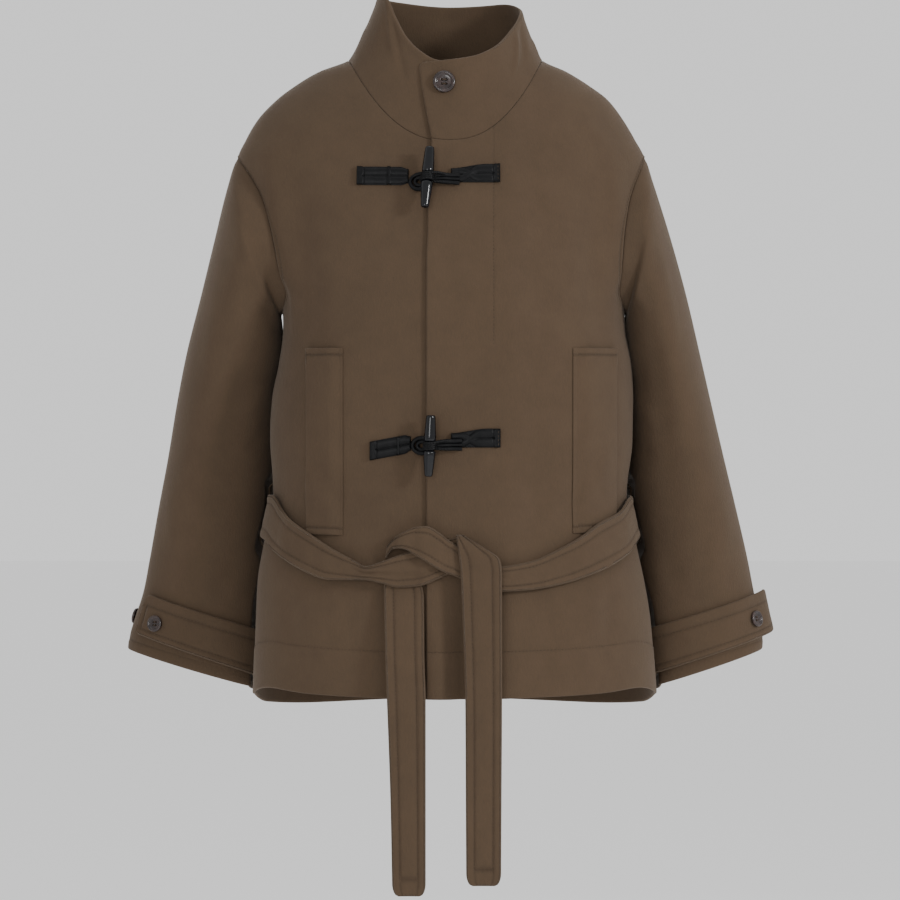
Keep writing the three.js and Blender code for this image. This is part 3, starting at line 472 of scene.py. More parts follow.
def tube(points, radius, sides=12, closed=False, ply=0, turns=0.0):
    # A cord swept along points; ply strands twist round it by turns for each mm.
    points = np.asarray(points, dtype=float)
    count = len(points)
    if closed:
        ahead, behind = np.roll(points, -1, axis=0), np.roll(points, 1, axis=0)
    else:
        ahead = np.concatenate([points[1:], points[-1:]])
        behind = np.concatenate([points[:1], points[:-1]])
    along = unit(ahead - behind)
    side = unit(np.cross(along[0], (0.3, 1, 0.2)))
    frames = []
    for way in along:
        side = unit(side - way * np.dot(side, way))
        frames.append(side)
    frames = np.array(frames)
    other = np.cross(along, frames)
    length = np.concatenate([[0], np.linalg.norm(np.diff(points, axis=0), axis=1).cumsum()])
    angle = np.arange(sides) * 2 * math.pi / sides
    swell = 1.0
    if ply:
        swell = 1 + 0.16 * np.cos(ply * (angle[None, :] - 2 * math.pi * turns * length[:, None]))
    size = np.broadcast_to(np.asarray(radius, dtype=float), (count,))[:, None] * swell
    cos, sin = np.cos(angle)[None, :, None], np.sin(angle)[None, :, None]
    ring = cos * frames[:, None] + sin * other[:, None]
    rings = points[:, None] + ring * np.broadcast_to(size, (count, sides))[..., None]
    index = np.arange(count * sides).reshape(count, sides)
    following = np.roll(index, -1, axis=1)
    if closed:
        nextRow, nextFollowing = np.roll(index, -1, axis=0), np.roll(following, -1, axis=0)
        quads = np.stack([index, following, nextFollowing, nextRow], axis=-1)
        return rings.reshape(-1, 3), quads.reshape(-1, 4).tolist()
    quads = np.stack([index[:-1], following[:-1], following[1:], index[1:]], axis=-1)
    faces = quads.reshape(-1, 4).tolist()
    faces.append(index[0][::-1].tolist())
    faces.append(index[-1].tolist())
    return rings.reshape(-1, 3), faces


def turnedForm(grid, first, last):
    # a turned form from its rows of points, closed at a pole beyond each end
    rows, columns = grid.shape[:2]
    index = np.arange(rows * columns).reshape(rows, columns)
    following = np.roll(index, -1, axis=1)
    faces = np.stack([index[:-1], following[:-1], following[1:], index[1:]], axis=-1)
    faces = faces.reshape(-1, 4).tolist()
    faces += [[rows * columns, int(b), int(a)] for a, b in zip(index[0], following[0])]
    faces += [[rows * columns + 1, int(a), int(b)] for a, b in zip(index[-1], following[-1])]
    return np.concatenate([grid.reshape(-1, 3), [first], [last]]), faces


def softCurve(points, count, closed=False):
    # an even, smooth line through a few points
    points = np.asarray(points, dtype=float)
    if closed:
        knots = np.concatenate([points[-1:], points, points[:2]])
    else:
        before, after = 2 * points[:1] - points[1:2], 2 * points[-1:] - points[-2:-1]
        knots = np.concatenate([before, points, after])
    fine = []
    for i in range(1, len(knots) - 2):
        a, b, c, d = knots[i - 1:i + 3]
        t = np.linspace(0, 1, 24, endpoint=False)[:, None]
        fine.append(0.5 * (2 * b + (c - a) * t + (2 * a - 5 * b + 4 * c - d) * t**2
                           + (3 * b - a - 3 * c + d) * t**3))
    fine = np.concatenate(fine + [knots[-2][None]])
    length = np.concatenate([[0], np.linalg.norm(np.diff(fine, axis=0), axis=1).cumsum()])
    at = np.linspace(0, length[-1], count, endpoint=not closed)
    return np.stack([np.interp(at, length, fine[:, k]) for k in range(3)], axis=1)


# Materials
def link(tree, source, target):
    tree.links.new(source, target)


def napGroup():
    # brushed wool: cloudy tone, short lying fibres, a dip along sewn lines that also carries painted
    # shade, and a painted highlight along free edges
    tree = bpy.data.node_groups.new("woolNap", "ShaderNodeTree")
    face = tree.interface
    face.new_socket("Cloth", in_out="INPUT", socket_type="NodeSocketColor")
    face.new_socket("Cloudiness", in_out="INPUT", socket_type="NodeSocketFloat")
    face.new_socket("Fibre Size", in_out="INPUT", socket_type="NodeSocketFloat")
    face.new_socket("Sewn Depth", in_out="INPUT", socket_type="NodeSocketFloat")
    face.new_socket("Color", in_out="OUTPUT", socket_type="NodeSocketColor")
    face.new_socket("Roughness", in_out="OUTPUT", socket_type="NodeSocketFloat")
    face.new_socket("Height", in_out="OUTPUT", socket_type="NodeSocketFloat")
    nodes = tree.nodes
    inputs, outputs = nodes.new("NodeGroupInput"), nodes.new("NodeGroupOutput")
    place = nodes.new("ShaderNodeTexCoord")

    def noise(scale, detail, rough, stretch=(1, 1, 1), distort=0.0):
        mapping = nodes.new("ShaderNodeMapping")
        mapping.inputs["Scale"].default_value = stretch
        link(tree, place.outputs["Object"], mapping.inputs["Vector"])
        node = nodes.new("ShaderNodeTexNoise")
        node.inputs["Scale"].default_value = scale
        node.inputs["Detail"].default_value = detail
        node.inputs["Roughness"].default_value = rough
        node.inputs["Distortion"].default_value = distort
        link(tree, mapping.outputs["Vector"], node.inputs["Vector"])
        return node

    def maths(operation, a, b, clamp=False):
        node = nodes.new("ShaderNodeMath")
        node.operation = operation
        node.use_clamp = clamp
        for socket, value in zip(node.inputs, (a, b)):
            if isinstance(value, (int, float)):
                socket.default_value = value
            else:
                link(tree, value, socket)
        return node.outputs[0]

    clouds = noise(9, 3, 0.55, (1, 1, 0.6))
    patches = noise(45, 4, 0.6)
    fibres = noise(620, 3, 0.65, (1, 1, 0.3), 0.6)
    link(tree, inputs.outputs["Fibre Size"], fibres.inputs["Scale"])
    felt = noise(1900, 2, 0.6)

    centred = []
    for node, weight in ((clouds, 0.55), (patches, 0.5), (fibres, 0.75), (felt, 0.4)):
        centred.append(maths("MULTIPLY", maths("SUBTRACT", node.outputs["Fac"], 0.5), weight))
    shade = centred[0]
    for value in centred[1:]:
        shade = maths("ADD", shade, value)
    shade = maths("MULTIPLY", shade, inputs.outputs["Cloudiness"])

    sewn = nodes.new("ShaderNodeAttribute")
    sewn.attribute_name = "sewn"
    squared = maths("MULTIPLY", sewn.outputs["Fac"], sewn.outputs["Fac"])
    dip = maths("EXPONENT", maths("MULTIPLY", squared, -0.42), 0)
    band = maths("EXPONENT", maths("MULTIPLY", squared, -0.035), 0)
    pucker = maths("MULTIPLY", band, maths("SUBTRACT", noise(260, 1, 0.5).outputs["Fac"], 0.5))

    edge = nodes.new("ShaderNodeAttribute")
    edge.attribute_name = "edge"
    # painted highlight: the colour is lightened near free edges, standing in for light caught on the
    # rounded rims
    paintedEdgeHighlight = maths("EXPONENT", maths("MULTIPLY", edge.outputs["Fac"], -0.55), 0)
    bright = maths("ADD", 1.0, shade)
    # painted shade: the colour is darkened along sewn lines, where shade falls in the seam's groove
    bright = maths("SUBTRACT", bright, maths("MULTIPLY", dip, 0.22))
    bright = maths("ADD", bright, maths("MULTIPLY", paintedEdgeHighlight, 0.03))

    tint = nodes.new("ShaderNodeVectorMath")
    tint.operation = "SCALE"
    link(tree, inputs.outputs["Cloth"], tint.inputs[0])
    link(tree, bright, tint.inputs["Scale"])
    link(tree, tint.outputs[0], outputs.inputs["Color"])
    rough = maths("ADD", 0.9, maths("MULTIPLY", centred[2], 0.3), clamp=True)
    link(tree, rough, outputs.inputs["Roughness"])

    height = maths("ADD", maths("MULTIPLY", centred[2], 0.5), maths("MULTIPLY", centred[3], 0.35))
    height = maths("ADD", height, maths("MULTIPLY", centred[1], 0.6))
    height = maths("SUBTRACT", height, maths("MULTIPLY", dip, inputs.outputs["Sewn Depth"]))
    drawn = maths("MULTIPLY", inputs.outputs["Sewn Depth"], 0.5)
    height = maths("ADD", height, maths("MULTIPLY", pucker, drawn))
    link(tree, height, outputs.inputs["Height"])
    return tree


def grainGroup():
    # fine pebbled grain for leather, lacquer and horn
    tree = bpy.data.node_groups.new("fineGrain", "ShaderNodeTree")
    face = tree.interface
    face.new_socket("Base", in_out="INPUT", socket_type="NodeSocketColor")
    face.new_socket("Vein", in_out="INPUT", socket_type="NodeSocketColor")
    face.new_socket("Grain Scale", in_out="INPUT", socket_type="NodeSocketFloat")
    face.new_socket("Vein Scale", in_out="INPUT", socket_type="NodeSocketFloat")
    face.new_socket("Gloss From", in_out="INPUT", socket_type="NodeSocketFloat")
    face.new_socket("Gloss To", in_out="INPUT", socket_type="NodeSocketFloat")
    face.new_socket("Color", in_out="OUTPUT", socket_type="NodeSocketColor")
    face.new_socket("Roughness", in_out="OUTPUT", socket_type="NodeSocketFloat")
    face.new_socket("Height", in_out="OUTPUT", socket_type="NodeSocketFloat")
    nodes = tree.nodes
    inputs, outputs = nodes.new("NodeGroupInput"), nodes.new("NodeGroupOutput")
    place = nodes.new("ShaderNodeTexCoord")
    grain = nodes.new("ShaderNodeTexVoronoi")
    link(tree, place.outputs["Object"], grain.inputs["Vector"])
    link(tree, inputs.outputs["Grain Scale"], grain.inputs["Scale"])
    vein = nodes.new("ShaderNodeTexNoise")
    vein.inputs["Detail"].default_value = 4
    vein.inputs["Distortion"].default_value = 1.2
    link(tree, place.outputs["Object"], vein.inputs["Vector"])
    link(tree, inputs.outputs["Vein Scale"], vein.inputs["Scale"])
    ramp = nodes.new("ShaderNodeMapRange")
    ramp.inputs["From Min"].default_value = 0.42
    ramp.inputs["From Max"].default_value = 0.68
    link(tree, vein.outputs["Fac"], ramp.inputs["Value"])
    blend = nodes.new("ShaderNodeMix")
    blend.data_type = "RGBA"
    link(tree, ramp.outputs["Result"], blend.inputs["Factor"])
    link(tree, inputs.outputs["Base"], blend.inputs[6])
    link(tree, inputs.outputs["Vein"], blend.inputs[7])
    link(tree, blend.outputs[2], outputs.inputs["Color"])
    gloss = nodes.new("ShaderNodeMix")
    gloss.data_type = "FLOAT"
    link(tree, vein.outputs["Fac"], gloss.inputs["Factor"])
    link(tree, inputs.outputs["Gloss From"], gloss.inputs[2])
    link(tree, inputs.outputs["Gloss To"], gloss.inputs[3])
    link(tree, gloss.outputs[0], outputs.inputs["Roughness"])
    link(tree, grain.outputs["Distance"], outputs.inputs["Height"])
    return tree


nap, grain = napGroup(), grainGroup()
woolLooks = {
    # cloth colour, cloudiness, fibre size, sewn depth, sheen
    "brownWool": ((0.056, 0.0362, 0.0216), 0.5, 620, 1.0, 0.1),
    "brownThread": ((0.046, 0.029, 0.0175), 0.3, 1500, 0.0, 0.1),
}
hardLooks = {
    # base, vein, grain scale, vein scale, gloss from, gloss to, coat, shine, bump distance
    "blackStrap": ((0.0025, 0.0026, 0.003), (0.005, 0.005, 0.0055), 1500, 60, 0.36, 0.48, 0, 0.12, 0.0001),
    "blackLacquer": ((0.002, 0.0022, 0.003), (0.004, 0.004, 0.006), 220, 30, 0.1, 0.18, 0.2, 0.2, 0.00002),
    "darkHorn": ((0.012, 0.0065, 0.006), (0.035, 0.019, 0.016), 300, 110, 0.2, 0.34, 0.15, 0.4, 0.00003),
    "blackThread": ((0.003, 0.003, 0.0035), (0.008, 0.008, 0.009), 2600, 200, 0.5, 0.7, 0, 0.12, 0.0001),
}
materials = {}


def finishMaterial(name, group, settings, coat=0.0, sheen=0.0, shine=0.5, bumpDistance=0.0004):
    material = bpy.data.materials.new(name)
    material.use_nodes = True
    tree = material.node_tree
    shader = tree.nodes["Principled BSDF"]
    node = tree.nodes.new("ShaderNodeGroup")
    node.node_tree = group
    for key, value in settings.items():
        socket = node.inputs[key]
        socket.default_value = (*value, 1) if isinstance(value, tuple) else value
    raised = tree.nodes.new("ShaderNodeBump")
    raised.inputs["Distance"].default_value = bumpDistance
    raised.inputs["Strength"].default_value = 1.0
    link(tree, node.outputs["Color"], shader.inputs["Base Color"])
    link(tree, node.outputs["Roughness"], shader.inputs["Roughness"])
    link(tree, node.outputs["Height"], raised.inputs["Height"])
    link(tree, raised.outputs["Normal"], shader.inputs["Normal"])
    shader.inputs["Specular IOR Level"].default_value = shine
    shader.inputs["Coat Weight"].default_value = coat
    shader.inputs["Coat Roughness"].default_value = 0.06
    shader.inputs["Sheen Weight"].default_value = sheen
    shader.inputs["Sheen Roughness"].default_value = 0.45
    if sheen:
        shader.inputs["Sheen Tint"].default_value = (0.9, 0.78, 0.66, 1)
    materials[name] = material


for name, (color, cloudiness, fibre, depth, sheen) in woolLooks.items():
    finishMaterial(name, nap, {
        "Cloth": color, "Cloudiness": cloudiness, "Fibre Size": fibre, "Sewn Depth": depth,
    }, sheen=sheen, shine=0.2, bumpDistance=0.0009)
for name, (base, vein, size, veinSize, glossA, glossB, coat, shine, deep) in hardLooks.items():
    finishMaterial(name, grain, {
        "Base": base, "Vein": vein, "Grain Scale": size, "Vein Scale": veinSize,
        "Gloss From": glossA, "Gloss To": glossB,
    }, coat=coat, shine=shine, bumpDistance=deep)
print("materials ready")


def dress(obj, material, slot, *nodes):
    obj.data.materials.append(materials[material])
    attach(obj, "root")
    if nodes:
        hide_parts(*nodes)
    return obj


# rows of stitches, gathered while the pieces are made: (middle, along, facing) for each stitch
stitchRows = {"brownThread": [], "blackThread": []}
stitchSet = {
    # thread: pitch, length, thickness
    "brownThread": (3.9, 3.0, 0.75),
    "blackThread": (2.6, 2.1, 0.55),
}


def sewAlong(points, facing, thread="brownThread"):
    points, facing = np.asarray(points, float), np.asarray(facing, float)
    pitch = stitchSet[thread][0]
    length = np.concatenate([[0], np.linalg.norm(np.diff(points, axis=0), axis=1).cumsum()])
    count = max(1, int(length[-1] / pitch))
    at = (np.arange(count) + 0.5) * length[-1] / count

    def pick(rows, where):
        return np.stack([np.interp(where, length, rows[:, k]) for k in range(3)], axis=1)

    ahead = unit(pick(points, at + 0.6) - pick(points, at - 0.6))
    stitchRows[thread].append((pick(points, at), ahead, unit(pick(facing, at))))


# Body panels
panelSet = {"hemBand": 50, "frontColumns": 84, "backColumns": 116, "placket": 46.5,
            "placketTop": -126, "placketFoot": -313, "seamStitch": 6.5}


def rowEnds():
    # for each row: height at the side, an evenly rising height, the reach round the armhole and
    # the place round it (or -1)
    underarm, top = armholeMiddle - armholeHalf, armholeMiddle + armholeHalf
    sides = ranges((hemSide, -600, 26), (-600, underarm, 84))[:-1]
    around = np.linspace(180, 0, 62)
    shoulders = np.linspace(top, neckSide, 40)[1:]
    height = np.concatenate([sides, armholeMiddle + armholeHalf * np.cos(around * deg), shoulders])
    even = np.concatenate([sides, mix(top, underarm, around / 180), shoulders])
    reach = np.concatenate([0 * sides, armholeReach * np.sin(around * deg), 0 * shoulders])
    place = np.concatenate([0 * sides - 1, around, 0 * shoulders - 1])
    return height[:, None], even[:, None], reach[:, None], place[:, None]


def riseShare(turn, sideTurn):
    return (np.abs(np.sin(turn * deg)) / np.sin(sideTurn * deg)) ** neckBend


def panelGrid(side):
    # turn and height of every point of a panel, its place about the neck, and its armhole rows
    height, even, reach, place = rowEnds()
    near = smooth((height + 150) / 156)
    if side:
        sideTurn = 90 - reach
        middle = centreHeight(even, neckFront)
        edge = frontEdge(side, middle)
        bodyEdge = np.abs(turnAt(-side * edge, middle)) * 90 / sideTurn
        c = np.linspace(0, 1, panelSet["frontColumns"] + 1)[None, :]
        atBody = mix(-bodyEdge, 90, c)
        aboutNeck = mix(-neckEnd(side), 90, c)
        share = mix(atBody, aboutNeck, near)
        rise = mix(riseShare(atBody * sideTurn / 90, sideTurn), riseShare(aboutNeck, 90), near)
        level = mix(middle, height, rise)
        blended = mix(atBody, side * neckTurn(side * aboutNeck), near)
        turn = side * blended * sideTurn / 90
        about = side * share
    else:
        sideTurn = 90 + reach
        middle = centreHeight(even, neckBack)
        share = np.linspace(90, 270, panelSet["backColumns"] + 1)[None, :]
        hand = np.where(share > 180, -1, 1)
        away = 180 - np.abs(180 - share)
        behind = (180 - away) * (180 - sideTurn) / 90
        rise = mix(riseShare(behind, 180 - sideTurn), riseShare(away, 90), near)
        level = mix(middle, height, rise)
        blended = mix(away, hand * neckTurn(hand * away), near)
        turn = hand * (180 - (180 - blended) * (180 - sideTurn) / 90)
        about = hand * away + 0 * height
    return turn, level + hemWave(turn, level), about, place


def makePanel(name, side):
    turn, z, about, place = panelGrid(side)
    point, normal = bodyPoint(turn, z), bodyNormal(turn, z)
    if side > 0:
        point = point + normal * lapLift(point[..., 0])[..., None]
    sides = borderDistances(point)
    armRow = place >= 0

    # the wall leans over towards the neck seam and the armhole
    tilt = 1 - smooth(sides["last"] / 14)
    inward = mix(normal, neckNormal(about), tilt[..., None])
    for end, hand in (("end", side or -1), ("start", 0 if side else 1)):
        if not hand:
            continue
        around = np.where(armRow, place if side else 360 - place, 0)
        lean = (1 - smooth(sides[end] / 12)) * armRow
        inward = mix(inward, armholeNormal(hand, around), lean[..., None])
    inner = point - unit(inward) * cloth

    # sewn lines: armhole, shoulder and side seams, neck seam, hem, placket
    armhole = np.where(armRow, sides["end"], farOff)
    if not side:
        armhole = np.minimum(armhole, np.where(armRow, sides["start"], farOff))
    stitch = panelSet["seamStitch"]
    hemOff = sides["first"] - panelSet["hemBand"]
    sewn = nearest(np.hypot(hemOff, 1.3), armhole - stitch)
    relief = 0.9 * (1 - smooth((armhole - 5) / 5)) * smooth(armhole / 1.5)
    relief = relief - 0.3 * bump(sides["last"], 3)
    relief = relief + 0.5 * (1 - smooth((sides["first"] - 47) / 6))
    free = ["first"]
    if side:
        free.append("start")
        relief = relief + 0.4 * (1 - smooth((sides["start"] - 6) / 8))
    if side > 0:
        x = point[..., 0]
        onPlacket = smooth((z - panelSet["placketFoot"]) / 3)
        line = np.where(z > panelSet["placketFoot"] - 3, x - panelSet["placket"], farOff)
        sewn = np.minimum(sewn, np.hypot(line, 1.5) + (1 - onPlacket) * 4)
        relief = relief + 0.3 * (1 - smooth((x - panelSet["placket"] + 2) / 4)) * onPlacket
    if side < 0:
        # backings of the two straps show through faintly
        for low, high, fromX, toX in ((-158, -108, -101, -24), (-447, -396, -94, -36)):
            inside = smooth((z - low) / 3) * smooth((high - z) / 3)
            x = point[..., 0]
            inside = inside * smooth((x - fromX) / 3) * smooth((toX - x) / 3)
            relief = relief + 0.45 * inside
    outer = point + normal * relief[..., None]

    obj = clothPiece(name, outer, inner, sewn=sewn, free=free)
    dress(obj, "brownWool", "wool", name)

    # rows of stitches on the hem, the armhole and the placket
    def sewWhere(distance, at, rowsOrColumns, keep):
        if rowsOrColumns == "columns":  # one stitch line crossing every column
            r = np.abs(distance - at).argmin(axis=0)
            c = np.arange(outer.shape[1])
        else:
            c = np.abs(distance - at).argmin(axis=1)
            r = np.arange(outer.shape[0])
        chosen = keep(r, c)
        r, c = r[chosen], c[chosen]
        if len(r) < 3:
            return
        step = np.array([1, 0]) if rowsOrColumns == "columns" else np.array([0, 1])
        r2 = np.clip(r + step[0] * np.where(distance[r, c] < at, 1, -1), 0, outer.shape[0] - 1)
        c2 = np.clip(c + step[1] * np.where(distance[r, c] < at, 1, -1), 0, outer.shape[1] - 1)
        gap = distance[r2, c2] - distance[r, c]
        t = np.clip((at - distance[r, c]) / np.where(np.abs(gap) < 1e-6, 1, gap), 0, 1)[:, None]
        line = mix(outer[r, c], outer[r2, c2], t) - normal[r, c] * 0.12
        sewAlong(line, normal[r, c])

    sewWhere(sides["first"], panelSet["hemBand"], "columns", lambda r, c: c >= 0)
    armRows = armRow[:, 0]
    for end in ("end",) if side else ("end", "start"):
        sewWhere(sides[end], stitch, "rows", lambda r, c: armRows[r])
    if side > 0:
        top, foot = panelSet["placketTop"], panelSet["placketFoot"]
        sewWhere(point[..., 0] - panelSet["placket"], 0, "rows",
                 lambda r, c: (z[r, c] < top) & (z[r, c] > foot))
    return obj


frontLeft = makePanel("front_left", 1)
frontRight = makePanel("front_right", -1)
backPanel = makePanel("back", 0)
print("body panels ready")

# Sleeves
sleeveRings = table(
    "outLeft outRight outZ inLeft inRight inZ y deep",
    (222, 242, -125, 192.6, 185.2, -277, 0, 70), (229, 248, -146, 192, 184.6, -282, 3, 74),
    (243, 259, -189, 190, 184, -292, 12, 76), (261, 275, -252, 190, 183, -314, 21, 76),
    (277, 292, -318, 196, 189, -348, 28, 73), (290, 303, -372, 197, 192, -390, 36, 69),
    (304, 313, -430, 196, 194, -442, 42, 64), (318, 324, -487, 200, 199, -502, 46, 60),
    (331, 334, -543, 204, 202, -568, 48, 55), (338, 341, -579, 206, 203, -612, 49, 51),
    (344, 350, -607, 208, 204, -643, 50, 49), (348, 356, -627, 210, 205, -669, 50, 47),
    (347, 358, -643, 211, 206, -688, 50, 46),
)
sleeveSet = {"room": 0.8, "beltRoom": 10, "beltMiddle": -494, "beltReach": 54, "tabRoom": 5.5,
             "tabFrom": 8.6}
sleeveRings["ring"] = np.arange(1, 14).astype(float)
sleeveFolds = [
    # ring, long, turn, wide, deep
    (3.5, 2.2, 78, 20, 3.5), (6, 2.5, 105, 22, -4), (7.5, 1.8, 60, 20, 3),
    (4, 2, 250, 22, 4), (6.5, 2, 285, 22, -4),
]
sleeveCreases = {
    # from ring, round to ring, round, bow, wide, deep; one degree counts as one sixtieth of a ring
    1: [
        (1.2, 128, 4.2, 92, 0.1, 0.16, 1.5), (1.6, 146, 3.4, 128, 0.05, 0.13, -1.4),
        (2.4, 60, 5.2, 84, -0.1, 0.2, 1.1), (5.2, 150, 6.4, 110, 0.05, 0.16, 1.3),
        (6.1, 158, 7.0, 118, 0.05, 0.14, -1.4), (7.6, 40, 9.2, 76, -0.1, 0.2, 1.2),
        (8.2, 120, 9.8, 96, 0.05, 0.18, -1.1), (1.2, 232, 4.2, 268, -0.1, 0.16, 1.5),
        (5.4, 210, 6.8, 262, -0.05, 0.16, 1.4), (6.4, 204, 7.6, 250, -0.05, 0.14, -1.4),
        (8.0, 320, 9.6, 282, 0.1, 0.2, 1.2),
    ],
    -1: [
        (1.2, 124, 4.6, 86, 0.1, 0.17, 1.5), (1.5, 144, 3.6, 120, 0.05, 0.13, -1.4),
        (3.0, 50, 5.8, 80, -0.1, 0.2, 1.1), (4.8, 152, 6.2, 108, 0.05, 0.16, 1.3),
        (5.8, 156, 6.9, 114, 0.05, 0.14, -1.3), (7.2, 36, 9.0, 70, -0.1, 0.2, 1.2),
        (8.4, 124, 9.8, 90, 0.05, 0.18, -1.2), (1.2, 236, 4.0, 272, -0.1, 0.16, 1.5),
        (5.0, 206, 6.6, 258, -0.05, 0.16, 1.4), (6.2, 202, 7.4, 246, -0.05, 0.14, -1.4),
        (8.2, 316, 9.8, 280, 0.1, 0.2, 1.1),
    ],
}


def ringPoint(side, ring, around, out):
    hand = "Left" if side > 0 else "Right"
    get = lambda column: read(sleeveRings, "ring", column, ring)
    outer = stack(side * get("out" + hand), get("y"), get("outZ"))
    inner = stack(side * get("in" + hand), get("y"), get("inZ"))
    middle, half = (outer + inner) / 2, (outer - inner) / 2
    a = np.linalg.norm(half, axis=-1, keepdims=True)
    across, b = half / a, get("deep")[..., None]
    cos, sin = np.cos(around * deg)[..., None], np.sin(around * deg)[..., None]
    toFront = np.array([0.0, -1.0, 0.0])
    normal = unit(across * cos / a + toFront * sin / b)
    fold = 0.0
    for at, long, turn, wide, deep in sleeveFolds:
        fold = fold + deep * bump(turnApart(around, turn), wide) * bump(ring - at, long)
    fold = fold + creaseDepth(
        [(r0, a0 / 60, r1, a1 / 60, bow, wide, deep)
         for r0, a0, r1, a1, bow, wide, deep in sleeveCreases[side]],
        ring, (around % 360) / 60,
    )
    point = middle + across * a * cos + toFront * b * sin + normal * (out + fold)[..., None]
    return clearOfBody(point, ring, -out)


def clearOfBody(point, ring, near):
    # a sleeve lies against the body, the belt and the cuff's tab instead of entering them
    x, y, z = point[..., 0], point[..., 1], point[..., 2]
    nearBelt = sleeveSet["beltReach"] - np.abs(z - sleeveSet["beltMiddle"])
    belt = sleeveSet["beltRoom"] * smooth(nearBelt / 20)
    tab = sleeveSet["tabRoom"] * smooth((ring - sleeveSet["tabFrom"]) / 1.2)
    width = halfWidth(z, x)
    depth = np.where(y < 0, read(torso, "z", "front", z), read(torso, "z", "back", z))
    square = read(torso, "z", "square", z)
    within = (np.abs(x) / width) ** square + (np.abs(y) / depth) ** square
    away = near + sleeveSet["room"] + np.maximum(belt, tab)
    scale = (1 + away / np.hypot(x, y)) / within ** (1 / square)
    scale = mix(1, np.maximum(1, scale), smooth((ring - 1) / 2))
    return stack(x * scale, y * scale, z)


def sleevePoint(side, ring, around, out):
    ring, around, out = np.broadcast_arrays(ring, np.asarray(around, float), out)
    ring, out = ring.astype(float), out.astype(float)
    turn = side * (90 - armholeReach * np.sin(around * deg))
    level = armholeMiddle + armholeHalf * np.cos(around * deg)
    start = bodyPoint(turn, level) + armholeNormal(side, around) * out[..., None]
    below = ringPoint(side, np.maximum(ring, 1), around, out)
    first = ringPoint(side, 0 * ring + 1, around, out)
    leave = (ringPoint(side, 0 * ring + 1.08, around, out) - first) / 0.08
    t = np.clip(ring, 0, 1)[..., None]
    outward = np.array([side * 1.0, 0, 0.25])
    arrive = (first - start) + outward * 5
    h = ((2 * t**3 - 3 * t**2 + 1) * start + (t**3 - 2 * t**2 + t) * arrive
         + (3 * t**2 - 2 * t**3) * first + (t**3 - t**2) * leave)
    return np.where(ring[..., None] < 1, h, below)


def makeSleeve(name, side):
    fine = np.linspace(0, 13, 400)
    line = sleevePoint(side, fine, 0.0, 0.0)
    length = np.concatenate([[0], np.linalg.norm(np.diff(line, axis=0), axis=1).cumsum()])
    ring = np.interp(np.linspace(0, length[-1], 146), length, fine)[:, None]
    around = (np.arange(124) * 360 / 124)[None, :]
    point = sleevePoint(side, ring, around, 0.0)
    inner = sleevePoint(side, ring, around, -float(cloth))
    sides = borderDistances(point)
    closedAcross = np.concatenate([point[:, 1:], point[:, :1]], axis=1) - np.roll(point, 1, axis=1)
    rise = np.gradient(point, axis=0)
    normal = unit(np.cross(closedAcross, rise))
    facing = np.sign((normal[:, 0, 0] * side).mean())
    normal = normal * facing
    relief = 0.7 * (1 - smooth((sides["last"] - 8) / 4)) - 0.5 * bump(sides["first"] - 2.5, 3)
    # the seam along the inner side of the arm
    underSeam = turnApart(around, 186) * 1.15 + 0 * ring
    seam = nearest(underSeam, sides["last"] - 11)
    relief = relief - 0.5 * bump(underSeam, 2.4)
    outer = point + normal * relief[..., None]
    obj = clothPiece(name, outer, inner, sewn=seam, free=["last"], closed=True)
    return dress(obj, "brownWool", "wool", name)


sleeveLeft = makeSleeve("sleeve_left", 1)
sleeveRight = makeSleeve("sleeve_right", -1)
print("sleeves ready")

# Collar
collarTop = table(
    "turn z", (-15, -3), (0, -1), (17, 3), (33, 12), (60, 37), (90, 60), (135, 73), (180, 72),
    (225, 75), (265, 76), (298, 70), (310, 49), (323, 25), (335, 10), (350, -1), (384, -6),
)
collarSet = {"endTop": 33, "topHalf": 79, "topFront": 79, "topBack": 62, "hollow": 0.8,
             "corner": 9, "height": 88}
collarCreases = [
    # from turn, rise to turn, rise, bow, wide, deep; turn counts in hundredths
    (0.62, 1.02, 0.46, 0.30, 0.03, 0.035, 2.6), (0.72, 1.0, 0.58, 0.25, 0.03, 0.045, -2.0),
    (2.98, 1.02, 3.18, 0.55, 0.03, 0.035, 2.2), (3.06, 1.0, 3.3, 0.4, 0.03, 0.04, -1.6),
    (1.3, 0.9, 1.22, 0.1, 0.02, 0.1, 1.4), (2.35, 0.9, 2.42, 0.1, -0.02, 0.1, 1.4),
    (1.78, 0.8, 1.84, 0.1, 0.03, 0.12, -1.3), (0.9, 0.5, 0.8, 0.05, 0.0, 0.06, 1.2),
    (2.72, 0.6, 2.86, 0.05, 0.0, 0.06, 1.2),
]


def collarPoint(turn, rise, out):
    turn, rise = np.broadcast_arrays(np.asarray(turn, float), np.asarray(rise, float))
    sin, cos = np.sin(turn * deg), np.cos(turn * deg)
    folded = np.arctan2(sin, cos) / deg
    base = halfWidth(neckSide, np.where(cos > 0, 1, -1)) * sin
    lift = np.where(turn < 90, lapLift(base), 0)[..., None]
    seamTurn = neckTurn(folded)
    foot = bodyPoint(seamTurn, neckHeight(folded))
    foot = foot + bodyNormal(seamTurn, neckHeight(folded)) * lift
    depth = np.where(cos > 0, collarSet["topFront"], collarSet["topBack"])
    top = stack(collarSet["topHalf"] * sin, -depth * cos, read(collarTop, "turn", "z", turn))
    draw = (rise ** collarSet["hollow"])[..., None]
    point = np.concatenate([
        mix(foot[..., :2], top[..., :2], draw),
        mix(foot[..., 2:], top[..., 2:], rise[..., None]),
    ], axis=-1)
    level = stack(sin, -cos, 0)
    normal = unit(mix(neckNormal(folded), level, smooth(rise * 4)[..., None]))
    crease = creaseDepth(collarCreases, turn / 100, rise)
    return point + level * lift * draw + normal * (np.asarray(out) + crease)[..., None]


